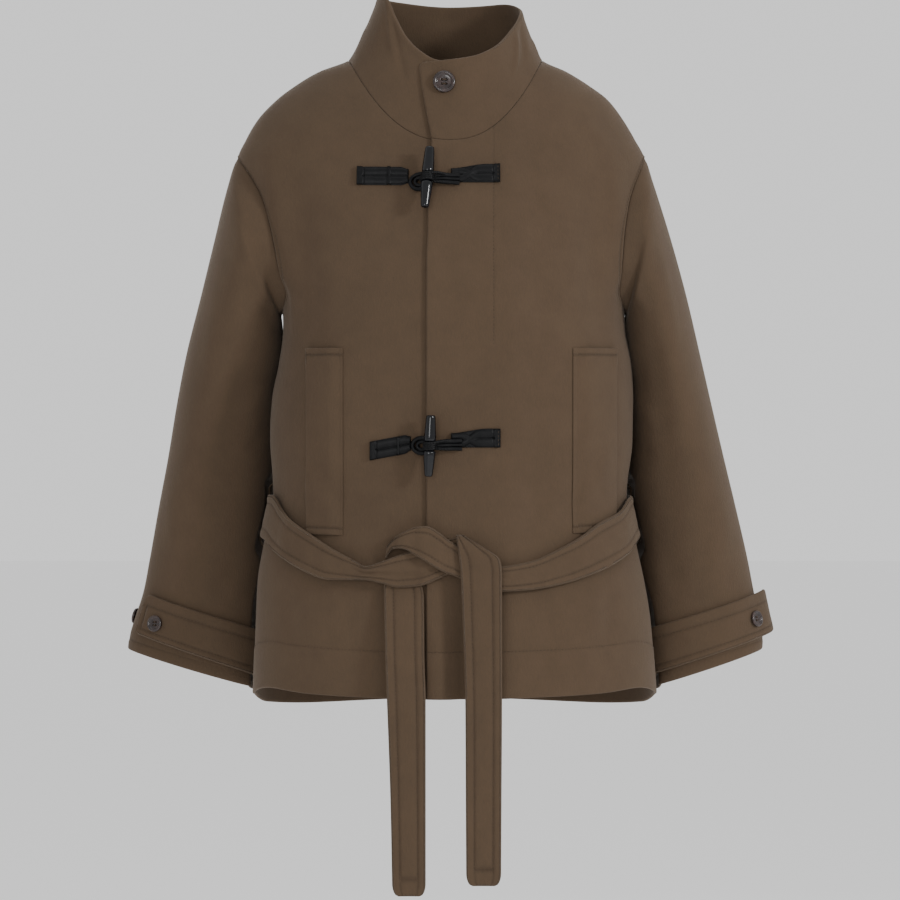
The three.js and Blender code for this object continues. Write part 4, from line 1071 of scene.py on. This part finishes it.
def makeCollar(name):
    slantEnd = math.asin(collarSet["endTop"] / collarSet["topHalf"]) / deg - neckEnd(1)
    stations = ranges((-neckEnd(1), 90, 64), (90, 270, 88), (270, 360 + neckEnd(-1), 56))[None, :]
    rise = ranges((0, 0.84, 24), (0.84, 1, 9))[:, None]
    # the lapping end leans out and its top corner is round
    away = np.maximum(0, (rise - 1) * collarSet["height"] + collarSet["corner"])
    radius = collarSet["corner"]
    roundOff = (radius - np.sqrt(np.maximum(0, radius**2 - away**2))) / 1.35
    near = smooth(-stations / neckEnd(1))
    turn = stations - slantEnd * rise * near
    turn = turn + roundOff * np.clip(1 - (stations + neckEnd(1)) / 24, 0, 1)
    point, inner = collarPoint(turn, rise, 0.0), collarPoint(turn, rise, -float(cloth))
    sides = borderDistances(point)
    across = np.gradient(point, axis=1)
    along = np.gradient(point, axis=0)
    normal = unit(np.cross(across, along))
    normal = normal * np.sign((normal * (point - inner)).sum(axis=-1)).mean().round()
    sewn = np.full(sides["last"].shape, farOff)
    thick = np.minimum(sides["last"], sides["start"])
    relief = 0.5 * (1 - smooth((thick - 4) / 7)) * smooth(thick / 1.5)
    relief = relief - 0.4 * bump(sides["first"], 3)
    outer = point + normal * relief[..., None]
    obj = clothPiece(name, outer, inner, sewn=sewn, free=["last", "start", "end"], swell=0.5)
    return dress(obj, "brownWool", "wool", name)


collar = makeCollar("collar")
print("collar ready")


# Flat pieces laid on a surface
def laidGrid(pointAt, us, vs, gap, thick, relief=None):
    u, v = np.meshgrid(us, vs)
    extra = relief(u, v) if relief else 0 * u
    return pointAt(u, v, gap + thick + extra), pointAt(u, v, gap + 0 * u)


def evenPlaces(pointAt, count, fineEnds=0):
    # places along u that lie evenly on the piece's middle line
    fine = np.linspace(0, 1, 500)
    line = pointAt(fine, 0 * fine + 0.5, 0 * fine)
    length = np.concatenate([[0], np.linalg.norm(np.diff(line, axis=0), axis=1).cumsum()])
    at = np.linspace(0, length[-1], count)
    if fineEnds:
        extra = np.linspace(0, 12, fineEnds)
        at = np.unique(np.concatenate([at[(at > 12.5) & (at < length[-1] - 12.5)],
                                       extra, length[-1] - extra]))
    return np.interp(at, length, fine), length[-1]


def doubleCloth(name, pointAt, count, width, gap, thick, free, line=9.5, rows=24, ends=(),
                fineEnds=0, corner=0, cornerSides=(), shape=None, ridge=0.35, long=True):
    # two layers of cloth with a row of stitches inside each edge, and round corners where named
    us, length = evenPlaces(pointAt, count, fineEnds)
    vs = np.linspace(0, 1, rows)
    edgeStitch = line / width

    def shaped(u, v, out):
        if corner:
            away = np.full(u.shape, 1e3)
            if "start" in cornerSides:
                away = np.minimum(away, u * length)
            if "end" in cornerSides:
                away = np.minimum(away, (1 - u) * length)
            inset = corner - np.sqrt(np.maximum(0, corner**2 - np.maximum(0, corner - away) ** 2))
            v = 0.5 + (v - 0.5) * (1 - 2 * inset / width)
        return pointAt(u, v, out)

    def relief(u, v):
        fromEdge = np.minimum(v, 1 - v) * width
        endways = np.full(u.shape, 1e3)
        if "start" in ends:
            endways = np.minimum(endways, u * length)
        if "end" in ends:
            endways = np.minimum(endways, (1 - u) * length)
        inside = np.minimum(fromEdge, endways) if long else endways
        pillow = ridge * np.sin(np.clip(inside / line, 0, 1) * math.pi) * (inside < line)
        middle = ridge * 1.3 * smooth((inside - line) / 8)
        total = pillow + middle - 0.28 * bump(inside - line, 1.4)
        return total + (shape(u, v) if shape else 0)

    outer, inner = laidGrid(shaped, us, vs, gap, thick, relief)
    u, v = np.meshgrid(us, vs)
    fromEdge = np.minimum(v, 1 - v) * width
    sewn = np.hypot(fromEdge - line, 0.9)
    for end in ends:
        fromEnd = (u if end == "start" else 1 - u) * length
        sewn = np.where(fromEdge < line, sewn, np.minimum(sewn, np.abs(fromEnd - line)))
    if not long:
        sewn = np.minimum(np.abs(u * length - line), np.abs((1 - u) * length - line))
    obj = clothPiece(name, outer, inner, sewn=np.minimum(sewn, farOff), free=free)
    dress(obj, "brownWool", "wool", name)

    # stitches
    first = line / length if "start" in ends else 0.0
    last = 1 - line / length if "end" in ends else 1.0
    uLine = np.linspace(first, last, 90)
    for vLine in (edgeStitch, 1 - edgeStitch) if long else ():
        flat = 0 * uLine + vLine
        points = shaped(uLine, flat, gap + thick + relief(uLine, flat) + 0.05)
        lower = shaped(uLine, flat, gap + 0 * uLine)
        sewAlong(points, points - lower)
    vLine = np.linspace(edgeStitch, 1 - edgeStitch, 30) if long else np.linspace(0.02, 0.98, 36)
    for end in ends:
        flat = 0 * vLine + (first if end == "start" else last)
        points = shaped(flat, vLine, gap + thick + relief(flat, vLine) + 0.05)
        lower = shaped(flat, vLine, gap + 0 * vLine)
        sewAlong(points, points - lower)
    return obj


# Pocket welts
weltSet = {"gap": 1.2, "thick": 4.0, "width": 44, "line": 7.5}
welts = {
    # from x, to x, top, bottom
    "pocket_welt_left": (131, 177, -313, -511),
    "pocket_welt_right": (-114, -152.5, -313, -513),
}
for name, (fromX, toX, top, bottom) in welts.items():
    def weltPoint(u, v, out, fromX=fromX, toX=toX, top=top, bottom=bottom):
        # u runs down the welt, v across it
        z = mix(top, bottom, u)
        return outside(turnAt(mix(fromX, toX, v), z), z, out)

    def weltShape(u, v):
        # level with the front along its inner edge, open along its outer one and more so at the top
        opening = smooth((v - 0.8) / 0.2) * (1 - smooth(u / 0.2))
        return 1.6 * opening - 1.4 - 3.2 * (1 - smooth(v / 0.4))

    doubleCloth(
        name, weltPoint, 76, abs(toX - fromX), weltSet["gap"], weltSet["thick"],
        ["start", "end", "first", "last"], line=weltSet["line"], rows=30, ends=("start", "end"),
        fineEnds=6, ridge=0.18, long=False, shape=weltShape,
    )
print("pocket welts ready")

# The tie belt
beltThick = 4
beltStretches = {
    "belt_back": table(
        "turn top bottom out", (100, -471, -516, 2), (125, -465, -510, 2), (150, -462, -507, 2),
        (180, -461, -506, 2), (210, -462, -507, 2), (235, -465, -510, 2), (260, -471, -516, 2),
    ),
    "belt_front_right": table(
        "turn top bottom out", (-100, -471, -516, 2), (-75, -471, -520, 2.5),
        (-61, -487, -532, 3.5), (-53, -498, -540, 6), (-41, -513, -553, 6.4), (-31, -528, -561, 6),
        (-23, -540, -561, 6), (-19, -546, -561, 7.6), (-14.5, -541, -564, 8),
        (-9.5, -533, -568.5, 7.8), (-5, -528, -567, 6), (-2, -522, -561, 4),
        (0.3, -516, -553, 1.4), (1.4, -513.5, -549, 1.4),
    ),
    "belt_front_left": table(
        "turn top bottom out", (100, -471, -516, 2), (77, -474, -521, 3), (68, -481, -527, 5),
        (60, -490, -536, 6.8), (46, -502, -550, 6.8), (38, -514, -557, 6.6), (28, -528, -565, 5),
        (18, -541, -571, 5), (10, -546, -573, 6), (5, -538, -568, 6.2), (0.8, -524, -557.6, 7.5),
        (-1.4, -511, -550, 10.5), (-4, -504, -541, 12), (-6.5, -505, -534, 13.2),
        (-9.6, -511, -527, 12.6), (-12, -517, -528, 8), (-13.9, -525, -538.7, 2.5),
    ),
}
beltTails = {
    "belt_tail_left": table(
        "z from to y", (-511.7, 6.4, 14, -146.5), (-515, 6.6, 19, -150), (-526, 8, 37, -154.2),
        (-538, 9.5, 53, -155.4), (-552, 11, 55, -156), (-600, 13, 55, -158.5),
        (-690, 16, 55, -161), (-790, 16.5, 54.5, -162), (-882, 17, 54, -162),
    ),
    "belt_tail_right": table(
        "z from to y", (-539.2, -71, -61, -139.4), (-548, -71, -50, -139.8),
        (-562, -70.5, -31, -141.4), (-580, -70, -27.5, -144.6), (-640, -68.5, -27, -157),
        (-690, -66.5, -25.5, -161), (-790, -63, -25.5, -162), (-893, -61, -25.5, -161),
    ),
}
for rows in list(beltStretches.values()) + list(beltTails.values()):
    rows["i"] = np.arange(len(rows["z"] if "z" in rows else rows["turn"])).astype(float)
beltCreases = {
    # along, across to along, across, bow, wide, deep
    "belt_back": [(0.12, 0.1, 0.3, 0.7, 0, 0.05, 0.5), (0.62, 0.9, 0.8, 0.3, 0, 0.05, -0.5)],
    "belt_front_right": [
        (0.3, 0.95, 0.66, 0.5, 0.02, 0.07, 0.8), (0.44, 0.62, 0.92, 0.30, -0.05, 0.05, -1.6),
        (0.46, 0.36, 0.94, 0.16, -0.05, 0.06, 0.9), (0.1, 0.3, 0.4, 0.2, 0.02, 0.08, -0.5),
    ],
    "belt_front_left": [
        (0.3, 0.8, 0.56, 0.45, 0.02, 0.07, -0.9), (0.2, 0.35, 0.5, 0.2, 0.0, 0.08, 0.7),
        (0.05, 0.7, 0.24, 0.45, 0.0, 0.07, 0.7), (0.62, 0.85, 0.86, 0.6, 0.0, 0.07, 0.6),
    ],
}
for name, rows in beltStretches.items():
    last = len(rows["turn"]) - 1

    def beltPoint(u, v, out, rows=rows, last=last):
        i = u * last
        z = mix(read(rows, "i", "bottom", i), read(rows, "i", "top", i), v)
        return outside(read(rows, "i", "turn", i), z, read(rows, "i", "out", i) + out)

    isBack = name == "belt_back"
    doubleCloth(
        name, beltPoint, 130, 45, 0, beltThick,
        ["first", "last"] if isBack else ["first", "last", "end"], rows=26,
        shape=lambda u, v, lines=beltCreases[name]: creaseDepth(lines, u, v),
    )
for name, rows in beltTails.items():
    last = len(rows["z"]) - 1

    def tailPoint(u, v, out, rows=rows, last=last):
        i = u * last
        x = mix(read(rows, "i", "from", i), read(rows, "i", "to", i), v)
        z = read(rows, "i", "z", i)
        wave = 0.9 * np.sin(z / 41) * smooth((-600 - z) / 60)
        return stack(x, read(rows, "i", "y", i) - out - wave, z)

    doubleCloth(
        name, tailPoint, 110, 38, 0, beltThick, ["start", "end", "first", "last"], rows=26,
        line=9, ends=("end",), fineEnds=9, corner=7, cornerSides=("end",),
    )
print("belt ready")

# Belt loops at the sides
loopSet = {"middle": 102, "width": 6, "high": -456, "low": -532, "thick": 2.4}
for name, side in (("belt_loop_left", 1), ("belt_loop_right", -1)):
    def loopPoint(u, v, out, side=side):
        z = mix(loopSet["high"], loopSet["low"], u)
        arch = (rest + beltThick + 1.6) * smooth(np.minimum(u, 1 - u) * 9)
        turn = side * (loopSet["middle"] + (v - 0.5) * loopSet["width"])
        return outside(turn, z, out + arch)

    doubleCloth(
        name, loopPoint, 50, 16, rest, loopSet["thick"], ["start", "end", "first", "last"],
        line=3.2, rows=12, ridge=0.15,
    )

# Cuff tabs
tabSet = {"gap": 1.2, "thick": 4, "lowerRing": 12.25, "upperRing": 10.3, "upperEnd": 10}
tabs = {
    # side, from, to, flare, lower ring at the end
    "cuff_tab_left": (1, 148, -8, 8, 12),
    "cuff_tab_right": (-1, 148, 30, 1, 11.75),
}
for name, (side, fromRound, toRound, flare, lower) in tabs.items():
    def tabPoint(u, v, out, side=side, fromRound=fromRound, toRound=toRound, flare=flare,
                 lower=lower):
        lift = flare * smooth((u - 0.75) / 0.25)
        low = mix(tabSet["lowerRing"], lower, u)
        ring = mix(low, mix(tabSet["upperRing"], tabSet["upperEnd"], u), v)
        return sleevePoint(side, ring, mix(fromRound, toRound, u), out + lift)

    doubleCloth(
        name, tabPoint, 76, 41, tabSet["gap"], tabSet["thick"], ["start", "end", "first", "last"],
        line=8.5, rows=24, ends=("end",), fineEnds=9, corner=9, cornerSides=("end",),
    )
print("loops and tabs ready")

# Buttons
buttonSet = {"holes": 0.27, "holeRadius": 0.1, "holeDepth": 0.09, "around": 56, "rings": 26}
buttonProfile = table(
    "at radius high", (0, 0, 0.085), (1, 0.35, 0.085), (2, 0.62, 0.1), (3, 0.72, 0.145),
    (4, 0.84, 0.168), (5, 0.94, 0.15), (6, 1.0, 0.1), (7, 1.0, 0.045), (8, 0.9, 0.005),
    (9, 0.78, 0.0),
)


def makeButton(name, centre, facing, diameter):
    facing = unit(np.asarray(facing, dtype=float))
    right = unit(np.cross((0, 0, 1.0), facing))
    upward = np.cross(facing, right)
    radius = diameter / 2
    at = ranges((0, 2, 16), (2, 9, buttonSet["rings"] - 2))[1:]
    r = read(buttonProfile, "at", "radius", at)[:, None]
    high = read(buttonProfile, "at", "high", at)[:, None] * diameter
    angle = (np.arange(buttonSet["around"]) * 2 * math.pi / buttonSet["around"])[None, :]
    x, y = r * np.cos(angle), r * np.sin(angle)
    high = high + 0 * x
    for k in range(4):
        hx = buttonSet["holes"] * math.cos(math.pi / 4 + k * math.pi / 2)
        hy = buttonSet["holes"] * math.sin(math.pi / 4 + k * math.pi / 2)
        away = np.hypot(x - hx, y - hy)
        reach = buttonSet["holeRadius"]
        hole = 1 - smooth((away - reach * 0.55) / (reach * 0.75))
        high = high - hole * buttonSet["holeDepth"] * diameter * (at[:, None] < 2.6)
    level = (right * x[..., None] + upward * y[..., None]) * radius
    grid = centre + level + facing * high[..., None]
    crown = centre + facing * buttonProfile["high"][0] * diameter
    button = addMesh(name, [turnedForm(grid, crown, np.asarray(centre))])
    dress(button, "darkHorn", "horn", name)

    # thread through the four holes
    strands = []
    reach = buttonSet["holes"] / math.sqrt(2)
    for row in (-1, 1):
        for shift in (-0.035, 0.035):
            line = []
            for t in np.linspace(-1, 1, 9):
                lift = 0.1 - 0.075 * abs(t) ** 5
                spot = centre + (right * t * reach + upward * (row * reach + shift)) * radius
                line.append(spot + facing * lift * diameter)
            strands.append(tube(line, diameter * 0.018, sides=8))
    thread = addMesh(name + "_thread", strands)
    dress(thread, "brownThread", "wool")
    return button, thread


buttons = {"collar_button": makeButton(
    "collar_button", collarPoint(-4.0, 0.72, rest), (0, -1, 0.12), 24)}
cuffButtons = {
    # side, rounds of the front and the back one, extra lift of the front one
    "left": (1, 32, -32, 0.7),
    "right": (-1, 52, -9, 0.6),
}
for hand, (side, around, behind, extra) in cuffButtons.items():
    out = tabSet["thick"] + 1 + rest + extra
    for name, place, off in (
        ("cuff_button_" + hand, around, out),
        ("cuff_button_" + hand + "_back", behind, rest - 0.4),
    ):
        near, far = sleevePoint(side, 11, place, 0.0), sleevePoint(side, 11, place, 10.0)
        buttons[name] = makeButton(name, sleevePoint(side, 11, place, off), far - near, 18)
print("buttons ready")

# Toggles, their straps and cords
toggles = {
    "upper": {"x": -24, "z": -136, "long": 69, "lean": 4.4, "patchFrom": -99.5,
              "patchZ": -129, "patchRise": -1, "facingZ": -127.6, "facingRise": 2, "bar": 0.62},
    "lower": {"x": -21.4, "z": -416.5, "long": 65.5, "lean": 2.3, "patchFrom": -85,
              "patchZ": -419, "patchRise": 8, "facingZ": -409, "facingRise": 1, "bar": 0.7},
}
toggleSet = {"out": 12.4, "waist": 4.4, "cord": 3.2, "turns": 3, "strap": 2.6, "half": 10,
             "roll": 2.3, "groove": 1.1, "loopHalf": 10.6, "loopTall": 8.2, "loopOff": 7.6}
toggleProfile = table(
    "at radius", (0, 0.0), (0.003, 2.9), (0.012, 3.8), (0.04, 4.4), (0.15, 5.2), (0.3, 6.1),
    (0.385, 6.5), (0.415, 6.0), (0.43, 4.5), (0.5, 4.4), (0.57, 4.5), (0.585, 6.0),
    (0.615, 6.5), (0.7, 6.25), (0.85, 5.6), (0.95, 5.1), (0.988, 4.5), (0.997, 3.4), (1, 0.0),
)


def roll(offset, half):
    return np.sqrt(np.maximum(0, 1 - (offset / half) ** 2))


def makeStrap(name, place, fromX, toX, z, rise, crossed, bar, outerEnd):
    # two padded rolls side by side, held by a bar or crossing each other, with a stitched end band
    length = abs(toX - fromX)
    half = toggleSet["half"]
    band = 6.5 / length

    def strapPoint(u, v, out):
        # the one on the toggle's side widens from its cords to its end, level along its lower edge
        tall = mix(0.76, 1, smooth(u / 0.75)) if crossed else 1 - 0.24 * smooth((u - 0.84) / 0.16)
        tall = tall * half
        middle = tall - half if crossed else (u - 0.5) * rise
        return place(mix(fromX, toX, u), z + middle + mix(-tall, tall, v), out)

    def relief(u, v):
        fromOuter = u if outerEnd == "start" else 1 - u
        if crossed:
            swap = smooth((u - 0.2) / 0.36)
            first, second = mix(0.26, 0.74, swap), mix(0.74, 0.26, swap)
            over = 1.0
        else:
            first, second, over = 0.26 + 0 * u, 0.74 + 0 * u, 0.0
        a, b = roll(v - first, 0.235), roll(v - second, 0.235)
        upper = a * (1 + 0.2 * over * bump(u - 0.38, 0.1))
        height = toggleSet["roll"] * np.maximum(upper, b) - toggleSet["groove"]
        if bar:
            acrossBar = smooth((0.036 - np.abs(u - bar)) / 0.014)
            height = mix(height, 1.75, acrossBar)
        flat = smooth((band - fromOuter) / 0.02)
        height = mix(height, 0.75 + 0.5 * bump(fromOuter - band * 0.12, 0.02), flat)
        return height - 0.9 * bump(fromOuter - band * 1.15, 0.014)

    us, vs = np.linspace(0, 1, 110), np.linspace(0, 1, 44)
    outer, inner = laidGrid(strapPoint, us, vs, rest, toggleSet["strap"] - 0.6, relief)
    part = wall(outer, inner, free=["start", "end", "first", "last"], swell=0.45)[0]
    strap = addMesh(name, [part])
    dress(strap, "blackStrap", "strap_leather", name)

    # stitches round the strap's edge and across its end band
    top = rest + toggleSet["strap"] - 0.6
    line = np.linspace(0.03, 0.97, 60)
    for level in (0.055, 0.945):
        flat = 0 * line + level
        points = strapPoint(line, flat, top + relief(line, flat) + 0.12)
        sewAlong(points, points - strapPoint(line, flat, 0 * line), "blackThread")
    across = np.linspace(0.08, 0.92, 20)
    spot = band * 0.35
    flat = 0 * across + (spot if outerEnd == "start" else 1 - spot)
    points = strapPoint(flat, across, top + relief(flat, across) + 0.12)
    sewAlong(points, points - strapPoint(flat, across, 0 * across),
             "brownThread" if crossed else "blackThread")
    return strap


def makeToggle(which, row):
    place = lambda x, z, out: outside(turnAt(x, z), z, out)
    spot = lambda x, z: place(np.array(float(x)), np.array(float(z)), 0.0)
    centre = spot(row["x"], row["z"])
    rise = unit(spot(row["x"], row["z"] + 20) - spot(row["x"], row["z"] - 20))
    right = np.array([1.0, 0, 0])
    out = unit(np.cross(right, rise))
    local = lambda across, off, high: centre + right * across + out * off + rise * high
    axis = unit(rise + right * math.tan(row["lean"] * deg))
    sideways = unit(np.cross(axis, out))
    toFront = np.cross(sideways, axis)
    middle = local(0, toggleSet["out"], 0)

    # the toggle itself
    at = ranges(
        (0, 0.05, 10), (0.05, 0.4, 14), (0.4, 0.6, 26), (0.6, 0.95, 14), (0.95, 1, 10))[1:-1]
    radius = read(toggleProfile, "at", "radius", at)[:, None, None]
    angle = np.arange(48) * 2 * math.pi / 48
    ring = np.cos(angle)[None, :, None] * sideways + np.sin(angle)[None, :, None] * toFront
    grid = middle + axis * ((at - 0.5) * row["long"])[:, None, None] + ring * radius
    end = axis * row["long"] / 2
    toggle = addMesh("toggle_" + which, [turnedForm(grid, middle - end, middle + end)])
    dress(toggle, "blackLacquer", "toggle_gloss", "toggle_" + which)

    # straps
    cordRadius = toggleSet["cord"] / 2
    loopHalf, loopMiddle = toggleSet["loopHalf"], row["x"] - toggleSet["loopOff"]
    loopEnd = loopMiddle - loopHalf - cordRadius - seamGap
    makeStrap("loop_patch_" + which, place, row["patchFrom"], loopEnd, row["patchZ"],
              row["patchRise"], False, row["bar"], "start")
    makeStrap("toggle_patch_" + which, place, 1, 53, row["facingZ"], row["facingRise"],
              True, 0, "end")

    # the loop that the toggle passes through
    loop = []
    for step in range(16):
        angle = step * 2 * math.pi / 16
        x = np.array(loopMiddle + loopHalf * math.cos(angle))
        level = row["z"] + toggleSet["loopTall"] * math.sin(angle) - 0.5
        loop.append(place(x, level, rest + cordRadius))
    middleOf = sum(loop) / len(loop)
    inner = [middleOf + (point - middleOf) * 0.52 for point in loop]
    loopCord = addMesh("loop_" + which, [
        tube(softCurve(loop, 96, True), cordRadius * 1.4, 16, True),
        tube(softCurve(inner, 72, True), cordRadius * 1.3, 14, True)])
    dress(loopCord, "blackStrap", "strap_leather", "loop_" + which)

    # the cord: off its strap, over the loop, three turns round the waist, and back
    thin = cordRadius - 0.1
    around = toggleSet["waist"] + thin + 0.15
    onPatch = rest + toggleSet["strap"] + cordRadius + 0.2
    helix = []
    turns = toggleSet["turns"]
    for step in range(turns * 14 + 1):
        share = step / (turns * 14)
        angle = (60 + 360 * turns * share + 150 * share) * deg
        high = mix(3.6, -3.6, share)
        spoke = sideways * math.cos(angle) + toFront * math.sin(angle)
        helix.append(middle + spoke * around + axis * high)
    leadIn = [local(*spotAt) for spotAt in (
        (34, onPatch, 5.6), (28, onPatch, 5.4), (18, 8.5, 5.2), (10, toggleSet["out"] + 2, 4.6))]
    leadOut = [local(*spotAt) for spotAt in (
        (11, toggleSet["out"] - 3.4, -3.4), (18, 8, -3.6), (28, onPatch, -3.9), (34, onPatch, -4))]
    line = softCurve(leadIn + helix + leadOut, 460)
    strands = [tube(line, thin, 14, ply=2, turns=0.16)]
    for high, radius in ((4.6, 2.3), (0.6, 1.9), (-3.4, 2.2)):
        strand = softCurve([local(*spotAt) for spotAt in (
            (3.5, toggleSet["out"] - 4.4, high * 0.5), (10, toggleSet["out"] - 4.8, high * 0.8),
            (17, 7.2, high), (25, onPatch + 0.3, high), (34, onPatch - 0.6, high * 1.1))], 60)
        strands.append(tube(strand, radius, 14))
    cords = addMesh("toggle_cord_" + which, strands)
    dress(cords, "blackStrap", "strap_leather", "toggle_cord_" + which)


for level, row in toggles.items():
    makeToggle(level, row)
print("toggles ready")


# Stitches, one small bead of thread at each place
def stitchTree():
    tree = bpy.data.node_groups.new("stitchRows", "GeometryNodeTree")
    face = tree.interface
    face.new_socket("Geometry", in_out="INPUT", socket_type="NodeSocketGeometry")
    face.new_socket("Length", in_out="INPUT", socket_type="NodeSocketFloat")
    face.new_socket("Thickness", in_out="INPUT", socket_type="NodeSocketFloat")
    face.new_socket("Unevenness", in_out="INPUT", socket_type="NodeSocketFloat")
    face.new_socket("Seed", in_out="INPUT", socket_type="NodeSocketInt")
    face.new_socket("Thread", in_out="INPUT", socket_type="NodeSocketMaterial")
    face.new_socket("Geometry", in_out="OUTPUT", socket_type="NodeSocketGeometry")
    nodes = tree.nodes
    inputs, outputs = nodes.new("NodeGroupInput"), nodes.new("NodeGroupOutput")
    bead = nodes.new("GeometryNodeMeshUVSphere")
    bead.inputs["Segments"].default_value = 6
    bead.inputs["Rings"].default_value = 4
    bead.inputs["Radius"].default_value = 0.5

    def vectorNamed(name):
        node = nodes.new("GeometryNodeInputNamedAttribute")
        node.data_type = "FLOAT_VECTOR"
        node.inputs["Name"].default_value = name
        return node.outputs["Attribute"]

    alongIt = nodes.new("FunctionNodeAlignRotationToVector")
    alongIt.axis = "X"
    link(tree, vectorNamed("along"), alongIt.inputs["Vector"])
    facingOut = nodes.new("FunctionNodeAlignRotationToVector")
    facingOut.axis = "Z"
    facingOut.pivot_axis = "X"
    link(tree, alongIt.outputs["Rotation"], facingOut.inputs["Rotation"])
    link(tree, vectorNamed("facing"), facingOut.inputs["Vector"])

    uneven = nodes.new("FunctionNodeRandomValue")
    uneven.data_type = "FLOAT"
    low = nodes.new("ShaderNodeMath")
    low.operation = "SUBTRACT"
    low.inputs[0].default_value = 1.0
    link(tree, inputs.outputs["Unevenness"], low.inputs[1])
    link(tree, low.outputs[0], uneven.inputs[2])
    uneven.inputs[3].default_value = 1.0
    link(tree, inputs.outputs["Seed"], uneven.inputs["Seed"])
    long = nodes.new("ShaderNodeMath")
    long.operation = "MULTIPLY"
    link(tree, inputs.outputs["Length"], long.inputs[0])
    link(tree, uneven.outputs[1], long.inputs[1])
    size = nodes.new("ShaderNodeCombineXYZ")
    link(tree, long.outputs[0], size.inputs["X"])
    link(tree, inputs.outputs["Thickness"], size.inputs["Y"])
    link(tree, inputs.outputs["Thickness"], size.inputs["Z"])

    scatter = nodes.new("GeometryNodeInstanceOnPoints")
    link(tree, inputs.outputs["Geometry"], scatter.inputs["Points"])
    link(tree, bead.outputs["Mesh"], scatter.inputs["Instance"])
    link(tree, facingOut.outputs["Rotation"], scatter.inputs["Rotation"])
    link(tree, size.outputs[0], scatter.inputs["Scale"])
    real = nodes.new("GeometryNodeRealizeInstances")
    link(tree, scatter.outputs["Instances"], real.inputs["Geometry"])
    paint = nodes.new("GeometryNodeSetMaterial")
    link(tree, real.outputs["Geometry"], paint.inputs["Geometry"])
    link(tree, inputs.outputs["Thread"], paint.inputs["Material"])
    link(tree, paint.outputs["Geometry"], outputs.inputs["Geometry"])
    return tree


sewing = stitchTree()
for thread, rows in stitchRows.items():
    middle, along, facing = (np.concatenate([row[k] for row in rows]) for k in range(3))
    mesh = bpy.data.meshes.new("stitches_" + thread)
    mesh.from_pydata((middle * toMetres).tolist(), [], [])
    for key, values in (("along", along), ("facing", facing)):
        mesh.attributes.new(key, "FLOAT_VECTOR", "POINT").data.foreach_set(
            "vector", values.astype("f").ravel())
    obj = bpy.data.objects.new("stitches_" + thread, mesh)
    bpy.context.scene.collection.objects.link(obj)
    modifier = obj.modifiers.new("sewing", "NODES")
    modifier.node_group = sewing
    pitch, length, thickness = stitchSet[thread]
    values = {"Length": length * toMetres, "Thickness": thickness * toMetres, "Unevenness": 0.25,
              "Seed": 7, "Thread": materials[thread]}
    for item in sewing.interface.items_tree:
        if item.in_out == "INPUT" and item.name in values:
            modifier[item.identifier] = values[item.name]
    graph = bpy.context.evaluated_depsgraph_get()
    made = bpy.data.meshes.new_from_object(obj.evaluated_get(graph))
    obj.modifiers.remove(modifier)
    obj.data = made
    made.shade_smooth()
    if not made.materials:
        made.materials.append(materials[thread])
    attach(obj, "root")
    print(thread, len(middle), "stitches")

# the cut of each piece of cloth, in metres; area is its share of the rectangle
cuts = {
    # width, length, area, held, rests on
    "front_left": (0.31, 0.72, 0.188, "hung", ["collar"]),
    "front_right": (0.32, 0.72, 0.2, "hung", ["collar"]),
    "back": (0.56, 0.73, 0.368, "hung", ["collar"]),
    "sleeve_left": (0.42, 0.52, 0.18, "hung", ["back", "front_left"]),
    "sleeve_right": (0.43, 0.52, 0.19, "hung", ["back", "front_right"]),
    "collar": (0.56, 0.105, 0.048, "folded", ["back", "front_left", "front_right"]),
    "pocket_welt_left": (0.055, 0.2, None, "laid", ["front_left"]),
    "pocket_welt_right": (0.045, 0.2, None, "laid", ["front_right"]),
    "belt_back": (0.045, 0.45, None, "laid", ["back"]),
    "belt_front_right": (0.045, 0.3, None, "laid", ["front_right"]),
    "belt_front_left": (0.045, 0.35, None, "laid", ["front_left"]),
    "belt_tail_left": (0.038, 0.375, None, "hung", ["belt_front_left"]),
    "belt_tail_right": (0.038, 0.355, None, "hung", ["belt_front_left"]),
    "belt_loop_left": (0.014, 0.08, None, "laid", ["back"]),
    "belt_loop_right": (0.014, 0.08, None, "laid", ["back"]),
    "cuff_tab_left": (0.045, 0.185, None, "laid", ["sleeve_left"]),
    "cuff_tab_right": (0.045, 0.15, None, "laid", ["sleeve_right"]),
}
for name, (width, length, area, held, under) in cuts.items():
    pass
